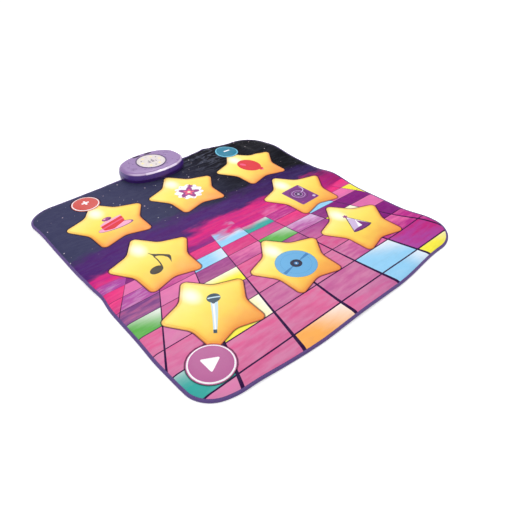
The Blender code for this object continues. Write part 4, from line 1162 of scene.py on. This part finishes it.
# %% Star print
def star_print():
    """Yellow that runs from a pale far tip to orange near tips, with an orange rim."""
    material, g, shader = new_material("star_print")
    x, y, _ = g.axes(flat_place(g, "pad"))
    drift = g.fade(g.noise(flat_place(g), 18.0, 3.0), 0.3, 0.7, -0.03, 0.03)
    slope = g.plus(g.times(y, 1 / STAR_TIP), g.times(x, -0.30 / STAR_TIP))
    level = g.plus(g.math("MULTIPLY_ADD", slope, 0.45, 0.5), drift)
    colour = g.ramp(level, [(0.04, (238, 146, 68)), (0.20, (243, 171, 74)), (0.38, (248, 208, 84)),
                            (0.58, (250, 226, 98)), (0.90, (252, 238, 144))])
    rise = g.point_value("from_edge")
    low = g.fade(level, 0.80, 0.15)
    shade = g.times(g.fade(rise, 0.016, 0.002), g.math("MULTIPLY_ADD", low, 0.50, 0.10))
    colour = g.mix(shade, colour, (238, 152, 72))
    ridge = g.times(g.fade(rise, 0.0030, 0.0048), g.fade(rise, 0.0078, 0.0056), 0.38)
    colour = g.mix(ridge, colour, (240, 150, 50))
    rim = g.times(g.fade(rise, 0.0040, 0.0018), g.math("MULTIPLY_ADD", low, 0.45, 0.45))
    colour = g.mix(rim, colour, (222, 118, 58))
    glow = g.apart(g.flat_vector(g.times(g.plus(x, 0.014), 1.5), y), (0, 0.064, 0))
    colour = g.mix(g.fade(glow, 0.044, 0.004, 0.0, 0.95), colour, (255, 254, 232))
    coat(g, shader, colour, crease=0.35, shine=0.16)
    return material


STAR_PRINT = star_print()
INKS["star"] = STAR_PRINT
print("star print:", len(STAR_PRINT.node_tree.nodes), "nodes")

# %% Pad shapes
PAD_BOTTOM, PAD_CROWN, RIM_LAP, PAD_SPACING = 0.0062, 0.0041, 0.0028, 0.0034
SWELL, SWELL_AT, SWELL_HALF, FOOT, FOOT_WIDTH = 0.00075, 0.0013, 0.0009, 0.00035, 0.0022
STAR_BROAD, DISC_BROAD, NEAREST = 0.074, 0.030, 0.0008
PAD_EDGE = ink("pad_edge", (214, 150, 60), 0.2)


def smoothed_distance(a, b, points):
    """Distance to an edge made of short segments, without ridges.

    Nearness is each segment's length over its distance to the fourth power, summed. A straight
    edge of any length then gives back its plain distance, as two over pi times the sum to the
    power of minus a third."""
    middle, length = (a + b) / 2, np.linalg.norm(b - a, axis=1)
    total = np.empty(len(points))
    for chunk in chunks(points, a):
        gap = np.linalg.norm(points[chunk][:, None] - middle[None], axis=2)
        total[chunk] = (length / np.maximum(gap, NEAREST) ** 4).sum(axis=1)
    return (total * 2 / math.pi) ** (-1 / 3)


def pad_height(from_edge, soft, broad):
    """Height over the cover: a welded rim that swells and dips, then a cushion that rises as a
    quarter round and flattens towards the middle."""
    swell = SWELL * np.exp(-((from_edge - SWELL_AT) / SWELL_HALF) ** 2)
    foot = FOOT * np.clip(from_edge / FOOT_WIDTH, 0, 1)
    share = np.clip((soft - RIM_LAP) / broad, 0, 1)
    return swell + foot + PAD_CROWN * (1 - (1 - share) ** 2.2) ** 0.62


def build_pad(name, centre, outlines, bites, broad, base):
    """A closed cushion with its print: the outline, the lines of the rim and the picture's
    outlines all become edges of the mesh."""
    centre = np.array(centre)
    shapes = [(np.asarray(loop) / 1000, INKS[colour]) for loop, colour in PICTURES[name]]
    lines = outlines[1:] + [loop for bite in bites for loop in bite[1:]] + [loop for loop, _ in shapes]
    holes = [bite[0] for bite in bites]
    flat, triangles = plane_mesh(outlines[0], holes, lines, PAD_SPACING)
    rim = open_edges(triangles)
    from_edge = distance_to([outlines[0], *holes], flat)
    soft = np.minimum(smoothed_distance(flat[rim[:, 0]], flat[rim[:, 1]], flat), 4 * from_edge + 0.001)
    place = flat + centre
    rise = lift(*place.T)
    top = COVER_TOP + pad_height(from_edge, soft, broad) + rise
    points, faces = slab(place, triangles, top, PAD_BOTTOM + rise)
    inks = [base]
    slots, middle = np.zeros(len(faces), int), flat[triangles].mean(axis=1)
    for loop, colour in shapes:
        if colour not in inks:
            inks.append(colour)
        slots[:len(triangles)][contains(loop, middle)] = inks.index(colour)
    slots[len(triangles):] = len(inks)
    made = make_object(f"{name}_cushion", points, faces, inks + [PAD_EDGE], slots,
                       [("flat", np.tile(place, (2, 1))), ("pad", np.tile(flat, (2, 1)))],
                       [("from_edge", np.concatenate([from_edge, np.zeros(len(from_edge))]))], 50)
    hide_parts(name)
    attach(made, name)
    return made, float(top.max() - rise.max())


RIM_STEPS = (0.0, -0.0008, -0.0016, -0.0026, -0.0040)
total = 0
for name, centre in STARS.items():
    bites = [[ring(radius + WINDOW_GAP - step, 120, np.array(place) - centre) for step in RIM_STEPS]
             for place, radius in DISCS.values()
             if np.linalg.norm(np.array(place) - centre) < radius + STAR_TIP]
    rims = [star_outline(step) for step in RIM_STEPS]
    pad, high = build_pad(name, centre, rims, bites, STAR_BROAD, STAR_PRINT)
    total += len(pad.data.polygons)
for name, (place, radius) in DISCS.items():
    base = INKS[{"start_pad": "start", "volume_up_pad": "up", "volume_down_pad": "down"}[name]]
    rims = [ring(radius + step, 160) for step in RIM_STEPS]
    pad, high = build_pad(name, place, rims, [], DISC_BROAD, base)
    total += len(pad.data.polygons)
print("pads:", total, "faces, crown at", round(high * 1000, 2), "mm")

# %% [markdown]
# ## Tools for the sound unit
# The unit is moulded plastic, so its shapes are exact. Its outline is a superellipse, which is
# squarer than an ellipse but has no corners, and its shell is a section carried round that
# outline. The section's corners are eased by short parabolas, because moulded edges are never
# sharp and the small round edges catch the light. Holes are cut with closed cutters in one go.

# %% Shell tools
UNIT_Y, PLATEAU_Z, INNER_TOP = 0.427, 0.0380, 0.0360
ALL_ROUND, DOUBLES = 2 * math.pi * (np.arange(200) + 0.5) / 200, 1e-6


def filleted(points, reach, steps=6):
    """An open path whose inner corners become parabolas that start a set distance from each."""
    points = np.array(points, float)
    reach = np.broadcast_to(reach, len(points))
    t = np.linspace(0, 1, steps)[:, None]
    path = [points[:1]]
    for last, here, after, room in zip(points, points[1:], points[2:], reach[1:]):
        if room == 0:
            path.append(here[None])
            continue
        ends = [here + (p - here) * min(room / np.linalg.norm(p - here), 0.48) for p in (last, after)]
        path.append((1 - t) ** 2 * ends[0] + 2 * t * (1 - t) * here + t ** 2 * ends[1])
    return np.concatenate([*path, points[-1:]])


def unit_rings(section, turn=ALL_ROUND):
    """Rings of the unit's outline for rows of half width, half depth, height and squareness n:
    x is a cos^(2/n) and y is b sin^(2/n), with their signs kept."""
    a, b, z, n = (section[:, k, None] for k in range(4))
    power = lambda value: np.sign(value) * np.abs(value) ** (2 / n)
    x = a * power(np.cos(turn)[None])
    return np.stack([x, UNIT_Y + b * power(np.sin(turn)[None]), z + 0 * x], axis=2)


def skin(rings):
    """Faces that join rows of points into a closed surface, with a flat face at each end."""
    rows, count = rings.shape[:2]
    ends = [list(range(count)), list(range((rows - 1) * count, rows * count))[::-1]]
    return rings.reshape(-1, 3), grid_faces(rows, count).tolist() + ends


def turned(x, y, profile, count):
    """Points and faces of a solid turned about an upright line, for rows of radius and height."""
    return skin(np.stack([at_height(ring(radius, count, (x, y)), z) for radius, z in profile]))


def stacked(loops, heights):
    """Points and faces of an upright solid with one outline at each height."""
    return skin(np.stack([at_height(loop, z) for loop, z in zip(loops, heights)]))


def prism(loop, low, high):
    """Points and faces of an upright solid with one outline between two heights."""
    return stacked([loop, loop], [low, high])


def solid_object(name, points, faces, materials, sharp=40):
    """A closed mesh object from lists, with every face turned outwards."""
    made = new_object(name, points, faces, materials)
    tidy_mesh(made, sharp)
    return made


def tidy_mesh(made, sharp):
    """Merges doubles, turns the faces outwards, and marks the edges sharper than an angle."""
    bm = bmesh.new()
    bm.from_mesh(made.data)
    bmesh.ops.remove_doubles(bm, verts=bm.verts, dist=DOUBLES)
    bmesh.ops.recalc_face_normals(bm, faces=bm.faces)
    bm.to_mesh(made.data)
    bm.free()
    soften(made.data, sharp)


def carve(made, cutters, sharp):
    """Takes closed cutters, which do not touch each other, out of a body, and keeps the result."""
    shifts = np.cumsum([0] + [len(part) for part, _ in cutters]).tolist()
    faces = [[shift + v for v in face] for shift, (_, part) in zip(shifts, cutters) for face in part]
    cutter = solid_object("cutter", np.concatenate([part for part, _ in cutters]), faces, [])
    step = made.modifiers.new("carve", "BOOLEAN")
    step.operation, step.solver, step.object = "DIFFERENCE", "EXACT", cutter
    result = bpy.data.meshes.new_from_object(made.evaluated_get(bpy.context.evaluated_depsgraph_get()))
    made.modifiers.clear()
    made.data = result
    bpy.data.objects.remove(cutter)
    tidy_mesh(made, sharp)


def lozenge(x, y, length, width, corner):
    """A rectangle with rounded corners about a point."""
    return rounded(quad(-length / 2, -width / 2, length / 2, width / 2), corner, 6) + (x, y)


print("shell tools ready")

# %% [markdown]
# ## The casing of the sound unit
# The top half is lilac above its shoulder and dark purple below it, the dark sides partly painted shade, with
# a painted highlight along the front bevel and painted shade on the floors of its recesses. A round recess
# holds the printed disc, a band on the front bevel is a separate glossy trim, two stepped slots behind the
# disc hold the slide switches, and nineteen sound holes lie over the speaker.

# %% Upper casing
SHOULDER, RIM, PLATEAU = (0.1048, 0.0722, 0.0320), (0.0998, 0.0677, 0.0363), (0.0948, 0.0637, PLATEAU_Z)
UNIT_SQUARE, TRIM_HALF, RECESS = 2.4, 0.0580, 0.0505
SWITCH_X, SWITCH_Y = (-0.021, 0.021), 0.4827
SPEAKER_PLACE, HOLE_PITCH = (-0.0723, 0.413), 0.0042


def colour_by_height(low, high, under, over):
    """A colour that changes at one height: two paints meeting, with partly painted shade on the casing's
    sides and a painted highlight on the trim.
    """
    def colour(g, place):
        return g.mix(g.fade(g.axes(place)[2], low, high), under, over)
    return colour


def casing_colour(g, place):
    """Purple to the shoulder and lilac above it, the purple sides partly painted shade, with a painted
    highlight along the front bevel and painted shade on the floors of the disc's recess and of the switches'
    recesses."""
    x, y, height = g.axes(place)
    from_disc = g.apart(place, (0, UNIT_Y, PLATEAU_Z))
    # lilac over purple at the shoulder, the purple sides partly painted shade
    body = colour_by_height(0.0313, 0.0318, (66, 28, 130), (138, 104, 163))(g, place)
    # a painted highlight along the front bevel
    painted_bevel_highlight = g.times(g.fade(height, 0.0324, 0.0334), g.fade(height, 0.0368, 0.0356),
                         g.fade(y, 0.412, 0.380, 0.0, 0.62))
    body = g.mix(painted_bevel_highlight, body, (232, 214, 244))
    # painted shade on the floor of the disc's recess, and near black on the floors of the switches' recesses
    pocket = g.between(height, 0.0366, 0.03785)
    recess_floor_shade = g.times(pocket, g.math("LESS_THAN", from_disc, RECESS + 0.0002))
    body = g.mix(recess_floor_shade, body, (96, 66, 118))
    switch = g.times(pocket, g.math("GREATER_THAN", y, 0.4780), g.between(x, -0.036, 0.036),
                     g.math("GREATER_THAN", from_disc, RECESS + 0.0005))
    return g.mix(switch, body, (30, 22, 42))


def trim_band(grow, rise, deep):
    """The band on the front bevel between two turns, as rows of its closed section."""
    half = math.asin((TRIM_HALF / SHOULDER[0]) ** 1.2) + 2 * grow / SHOULDER[1]
    turn = -math.pi / 2 + half * np.linspace(-1, 1, 61)
    corners = [(a + shift, b + shift, z + up, UNIT_SQUARE) for (a, b, z), shift, up in (
        (SHOULDER, rise, -grow), (RIM, rise, grow), (RIM, -deep, grow), (SHOULDER, -deep, -grow))]
    closed = filleted([*corners, corners[0]], [0, 0.0006 * (grow == 0), 0, 0, 0], 5)[:-1]
    return skin(np.transpose(unit_rings(closed, turn), (1, 0, 2)))


def unit_section(corners, reach):
    """A section of the unit from rows of half width, half depth and height, with eased corners;
    a row may give its own squareness."""
    return filleted([(*row, UNIT_SQUARE)[:4] for row in corners], reach)


casing_section = unit_section([
    (0.004, 0.004, 0.0368, 2.0), (RECESS, RECESS, 0.0368, 2.0), (RECESS, RECESS, PLATEAU_Z, 2.0),
    PLATEAU, RIM, SHOULDER, (0.1080, 0.0755, 0.01815), (0.1060, 0.0735, 0.01815), (0.1028, 0.0702, 0.0310),
    (0.0928, 0.0617, INNER_TOP), (0.004, 0.004, INNER_TOP, 2.0)],
    [0, 0.0002, 0.0004, 0.0018, 0.0020, 0.0014, 0.0003, 0.0002, 0.001, 0.001, 0])
LILAC = plastic("lilac_plastic", casing_colour, 0.30, 700.0)
casing = solid_object("upper_casing_shell", *skin(unit_rings(casing_section)), [LILAC], sharp=32)
cutters = [trim_band(0.0003, 0.010, 0.0015)]
for x in SWITCH_X:
    narrow, wide = lozenge(x, SWITCH_Y, 0.0146, 0.0046, 0.0006), lozenge(x, SWITCH_Y, 0.0256, 0.0076, 0.0014)
    mouth = lozenge(x, SWITCH_Y, 0.0264, 0.0084, 0.0016)
    cutters.append(stacked([narrow, narrow, wide, mouth], [0.034, 0.0370, 0.0370, 0.0395]))
holes = [SPEAKER_PLACE, *ring(HOLE_PITCH, 6, SPEAKER_PLACE), *ring(2 * HOLE_PITCH, 12, SPEAKER_PLACE)]
cutters += [turned(*hole, [(0.0009, 0.034), (0.0009, 0.0378), (0.0013, 0.0382), (0.0013, 0.0395)], 16)
            for hole in holes]
carve(casing, cutters, 32)
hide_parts("upper_casing")
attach(casing, "mat")
print("upper casing:", len(casing.data.polygons), "faces,", len(holes), "sound holes")

# %% Front trim
# the trim's pale lilac top is whitened further as a painted highlight
TRIM = plastic("glossy_trim", colour_by_height(0.0313, 0.0324, (84, 54, 138), (232, 216, 246)), 0.14, 500.0,
               bump=0.00001, coat_weight=0.6)
trim = solid_object("front_trim_band", *trim_band(0.0, 0.00015, 0.0012), [TRIM], sharp=50)
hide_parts("front_trim")
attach(trim, "mat")
print("trim:", len(trim.data.polygons), "faces")

# %% [markdown]
# ## The printed disc
# A cream disc lies in the recess. Its print is plain: small stars and dots round the rim, thin
# rings, and a row of bars like those of a sound meter. As on the pads, the outlines of the
# print are edges of the mesh, and each shape has its own ink.

# %% Disc
def star_shape(x, y, radius, turn):
    """A small five-pointed star: ten points whose radius alternates."""
    return polar(x, y, np.where(np.arange(10) % 2, 0.45, 1.0) * radius, math.radians(90 + turn) + angles(10))


def card(name, colour):
    """Printed card under a clear film."""
    return plastic(name, colour, 0.34, 1500.0, bump=0.00001, coat_weight=0.2)


disc_inks = [card(f"disc_{name}", colour) for name, colour in (
    ("cream", (217, 207, 204)), ("yellow", (250, 226, 130)), ("mauve", (196, 170, 196)),
    ("grey", (78, 62, 84)), ("edge", (90, 66, 130)))]
CREAM, YELLOW, MAUVE, GREY, EDGE = range(5)
DISC_RADIUS, DISC_PRINT, DISC_TOP, DISC_BOTTOM = 0.0458, 0.0452, 0.0384, 0.0371
BAR_HALF, BAR_FOOT = 0.0014, -0.0105
prints = [(ring(0.0415, 120), MAUVE), (ring(0.0408, 120), CREAM), (ring(0.0228, 90), MAUVE),
          (ring(0.0222, 90), CREAM)]
for k, place in enumerate(polar(0, 0, 0.0310, angles(12))):
    if k % 2 == 0:
        prints.append((star_shape(*place, 0.0058, 30 * k), YELLOW))
    else:
        prints.append((ring(0.0024, 18, place), GREY if k % 4 == 1 else MAUVE))
for k, tall in enumerate((7, 12, 18, 11, 16, 22, 14, 8)):
    x = -0.0147 + 0.0042 * k
    bar = quad(x - BAR_HALF, BAR_FOOT, x + BAR_HALF, BAR_FOOT + tall / 1000)
    prints.append((bar, GREY if k % 3 else MAUVE))
lines = [ring(DISC_PRINT, 160)] + [loop for loop, _ in prints]
flat, triangles = plane_mesh(ring(DISC_RADIUS, 160), [], lines, 0.0026)
from_rim = DISC_RADIUS - np.hypot(*flat.T)
top = DISC_TOP - 0.0004 * (1 - np.clip(from_rim / 0.0006, 0, 1)) ** 2
points, faces = slab(flat + (0, UNIT_Y), triangles, top, DISC_BOTTOM)
slots, middle = np.full(len(faces), EDGE), flat[triangles].mean(axis=1)
slots[:len(triangles)][np.hypot(*middle.T) < DISC_PRINT] = CREAM
for loop, slot in prints:
    slots[:len(triangles)][contains(loop, middle)] = slot
disc = make_object("printed_disc", points, faces, disc_inks, slots, sharp=50)
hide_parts("top_disc")
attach(disc, "mat")
print("disc:", len(prints), "printed shapes")

# %% [markdown]
# ## The lower casing
# The lower half is plain purple plastic that lies over the mat with its front and reaches down to
# the floor behind it. A step is cut across it for the mat and its thicker binding, and a bay and
# a shallow recess are cut from below for the batteries and their door.

# %% Lower casing
def across_unit(profile):
    """A long prism across the casing with one outline of depth and height."""
    return skin(np.stack([np.column_stack([np.full(len(profile), x), profile]) for x in (-0.3, 0.3)]))


def bore(place, side, radius, low, high, count):
    """An upright cylinder on one side of the unit, for a screw's hole."""
    return turned(side * place[0], place[1], [(radius, low), (radius, high)], count)


PURPLE = plastic("purple_plastic", (58, 28, 104), 0.34, 600.0)
lower_section = unit_section([
    (0.1045, 0.0720, 0.0023), (0.1065, 0.0740, 0.0023), (0.1080, 0.0755, 0.01785),
    (0.1060, 0.0735, 0.01785), (0.1060, 0.0735, 0.0114), (0.1000, 0.0680, 0.0114)],
    [0, 0.0012, 0.0004, 0.0003, 0.0008, 0])
lower = solid_object("lower_casing_shell", *skin(unit_rings(lower_section)), [PURPLE], sharp=32)
carve(lower, [across_unit(np.array([(0.0, -0.01), (0.4283, -0.01), (0.4283, 0.0096), (0.4217, 0.0096),
                                    (0.4217, 0.0083), (0.0, 0.0083)]))], 32)
MAT_SCREW, CASING_SCREW, DOOR_SCREW = (MAT_SCREW_X, MAT_SCREW_Y), (0.087, 0.445), (0, 0.43305)
BAY, DOOR, DOOR_GAP = (-0.0264, 0.4360, 0.0264, 0.4801), (-0.0299, 0.4301, 0.0299, 0.4836), 0.0003
carve(lower, [prism(quad(*BAY), 0.0, 0.03),
              *[bore(CASING_SCREW, side, 0.0035, 0.0, 0.0047, 32) for side in (-1, 1)],
              *[bore(MAT_SCREW, side, 0.0017, 0.005, 0.02, 24) for side in (-1, 1)]], 32)
recess = quad(DOOR[0] - DOOR_GAP, DOOR[1] - DOOR_GAP, DOOR[2] + DOOR_GAP, DOOR[3] + DOOR_GAP)
carve(lower, [prism(recess, 0.0, 0.0041)], 32)
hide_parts("lower_casing")
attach(lower, "mat")
print("lower casing:", len(lower.data.polygons), "faces")

# %% [markdown]
# ## The switches and the battery door
# A slide switch shows a small black knob with three grip ribs, and the door has a row of grip
# grooves near its screw. Both are solids whose section changes along one line.

# %% Switch knobs and the battery door
BLACK = plastic("black_plastic", (22, 20, 26), 0.38, 1200.0)
KNOB_SHIFT, KNOB_HALF, KNOB_WIDE, KNOB_FOOT, KNOB_CUT = 0.004, 0.0030, 0.0020, 0.0345, 0.0004
END_TOP, RIB_TOP, GROOVE_TOP = 0.0003, 0.0008, 0.00045


def knob(name, middle):
    """Rings along X with square corners cut off; the top of every second pair of rings stands
    proud as a rib."""
    along = np.linspace(-KNOB_HALF, KNOB_HALF, 15)
    proud = np.where(np.arange(15) // 2 % 2, RIB_TOP, GROOVE_TOP)
    top = PLATEAU_Z + np.where(np.abs(along) > 0.0026, END_TOP, proud)
    rings = []
    for x, z in zip(along, top):
        half = KNOB_WIDE - (0.0003 if abs(x) > 0.0028 else 0.0)
        low, shoulder, flat_half = KNOB_FOOT, z - KNOB_CUT, half - KNOB_CUT
        rings.append([(middle + x, SWITCH_Y + y, h) for y, h in (
            (-half, low), (half, low), (half, shoulder), (flat_half, z), (-flat_half, z), (-half, shoulder))])
    made = solid_object(f"{name}_grip", *skin(np.array(rings)), [BLACK], sharp=30)
    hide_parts(f"{name}_knob")
    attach(made, name.replace("_switch", "_knob"))


for name, x in zip(("power_switch", "volume_switch"), SWITCH_X):
    knob(name, x - KNOB_SHIFT)
panel = [lozenge(0, (DOOR[1] + DOOR[3]) / 2, 0.0598 - 2 * ease, 0.0535 - 2 * ease, 0.0016)
         for ease in (0.0004, 0.0, 0.0)]
door = solid_object("battery_door_panel", *stacked(panel, (0.0023, 0.0027, 0.0038)), [PURPLE], sharp=30)
grooves = [prism(lozenge(0, 0.4372 + 0.0022 * k, 0.030 - 0.003 * k, 0.0010, 0.0004), 0.0, 0.0028)
           for k in range(4)]
carve(door, [*grooves, turned(*DOOR_SCREW, [(0.0015, 0.0), (0.0015, 0.006)], 32)], 30)
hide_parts("battery_door")
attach(door, "battery_door")
print("door:", len(door.data.polygons), "faces")

# %% [markdown]
# ## Screws, feet and cells
# These are turned parts: a profile of radius and height goes round a line. A screw's head gets a
# small dome and a cross cut into it.

# %% Screws, feet and cells
STEEL = metal("plated_steel", (150, 150, 156), 0.28)
RUBBER = plastic("black_rubber", (24, 23, 26), 0.7, 1600.0, bump=0.00008)


def screw(name, x, y, head, low, high, shank, tip):
    """A screw that points up: a domed head with a cross recess, and a plain shank."""
    profile = filleted([(0.0001, low), (head, low), (head, high), (shank, high), (shank, tip),
                        (0.0001, tip + 0.0008)], [0, 0.45 * (high - low), 0, 0, 0.0003, 0])
    made = solid_object(f"{name}_turned", *turned(x, y, profile, 32), [STEEL], sharp=30)
    arm, wide, deep = 0.62 * head, 0.16 * head, low + 0.55 * (high - low)
    cross = np.array([
        (-arm, -wide), (-wide, -wide), (-wide, -arm), (wide, -arm), (wide, -wide), (arm, -wide),
        (arm, wide), (wide, wide), (wide, arm), (-wide, arm), (-wide, wide), (-arm, wide)])
    carve(made, [prism(cross + (x, y), low - 0.002, deep)], 30)
    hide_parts(name)
    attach(made, "battery_door" if "door" in name else "mat")
    return len(made.data.polygons)


FOOT_X, FOOT_Y = 0.060, 0.478
foot_profile = filleted([(0.0001, 0.0), (0.0052, 0.0), (0.0060, 0.0007), (0.0060, 0.0020), (0.0020, 0.0020),
                         (0.0020, 0.0036), (0.0001, 0.0036)], [0, 0.0004, 0.0003, 0.0002, 0, 0.0003, 0])
faces = [screw("battery_door_screw", *DOOR_SCREW, 0.0024, 0.0012, 0.0020, 0.0012, 0.0062)]
for side, sign in (("left", -1), ("right", 1)):
    faces.append(screw(f"mat_screw_{side}", sign * MAT_SCREW[0], MAT_SCREW[1],
                       0.0050, 0.0004, 0.0010, 0.0014, 0.0168))
    faces.append(screw(f"casing_screw_{side}", sign * CASING_SCREW[0], CASING_SCREW[1],
                       0.0032, 0.0026, 0.0044, 0.0014, 0.0168))
    foot = solid_object(f"rubber_foot_{side}", *turned(sign * FOOT_X, FOOT_Y, foot_profile, 48), [RUBBER])
    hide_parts(f"foot_{side}")
    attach(foot, "mat")
print("screws of", faces, "faces, and two feet")

# %% Cells
def sleeve(g, place):
    """A plain printed sleeve: black, with a copper band towards the cell's raised end."""
    x = g.times(g.axes(place)[0], g.point_value("way"))
    return g.mix(g.fade(x, 0.0118, 0.0121), (26, 26, 30), (176, 112, 66))


SLEEVE = plastic("cell_sleeve", sleeve, 0.22, 2000.0, bump=0.000005)
CELL_RADIUS, CELL_PITCH, BAY_GAP, CELL_FLOOR = 0.00715, 0.0146, 0.0003, 0.0044
cell_profile = filleted([
    (0.0001, -0.0250), (0.0066, -0.0250), (CELL_RADIUS, -0.0246), (CELL_RADIUS, 0.0230),
    (0.0064, 0.0235), (0.0027, 0.0235), (0.0027, 0.0250), (0.0001, 0.0250)],
    [0, 0.0002, 0.0003, 0.0003, 0.0002, 0, 0.0003, 0])
upright, faces = turned(0, 0, cell_profile, 48)
for k in range(3):
    y, way = BAY[1] + BAY_GAP + CELL_RADIUS + k * CELL_PITCH, 1 if k % 2 == 0 else -1
    points = np.column_stack([way * upright[:, 2], y + upright[:, 1],
                              CELL_FLOOR + CELL_RADIUS + upright[:, 0]])
    cell = solid_object(f"cell_{k + 1}", points, faces, [SLEEVE, STEEL], sharp=30)
    end = np.array([abs(f.center.x) > 0.0234 for f in cell.data.polygons])
    cell.data.polygons.foreach_set("material_index", end.astype(np.int32))
    set_values(cell.data, "way", np.full(len(cell.data.vertices), way))
    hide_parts(f"battery_{k + 1}")
    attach(cell, "mat")
print("three cells in a row")

# %% [markdown]
# ## Pieces that keep the CAD model's shape
# What lies inside the unit is seen only through a slot, a sound hole or the open battery bay. Its
# CAD shapes are right as they are, so those solids stay and only get a finish.

# %% Finishes of the inner pieces
def board_colour(g, place):
    """Green lacquer with paler straight tracks."""
    track = g.node("TexBrick", {"Vector": place, "Scale": 60.0, "Mortar Size": 0.012}).outputs["Fac"]
    return g.mix(track, (18, 84, 46), (52, 128, 78))


kept = {"circuit_board": plastic("board_lacquer", board_colour, 0.3, 1500.0),
        "sensor_ribbon": plastic("ribbon_film", (196, 200, 206), 0.3, 1500.0),
        "speaker_cone": plastic("paper_cone", (26, 26, 28), 0.8, 1500.0, bump=0.0001)}
kept.update({name: STEEL for name in ("speaker_basket", "battery_contact_left", "battery_contact_right")})
kept.update({f"{name}_switch_body": BLACK for name in ("power", "volume")})
for name, material in kept.items():
    for place in frame["nodes"][name].material_slots:
        place.material = material
shown = [name for name, node in frame["nodes"].items() if not node.hide_render]
print("CAD solids that show:", sorted(shown))
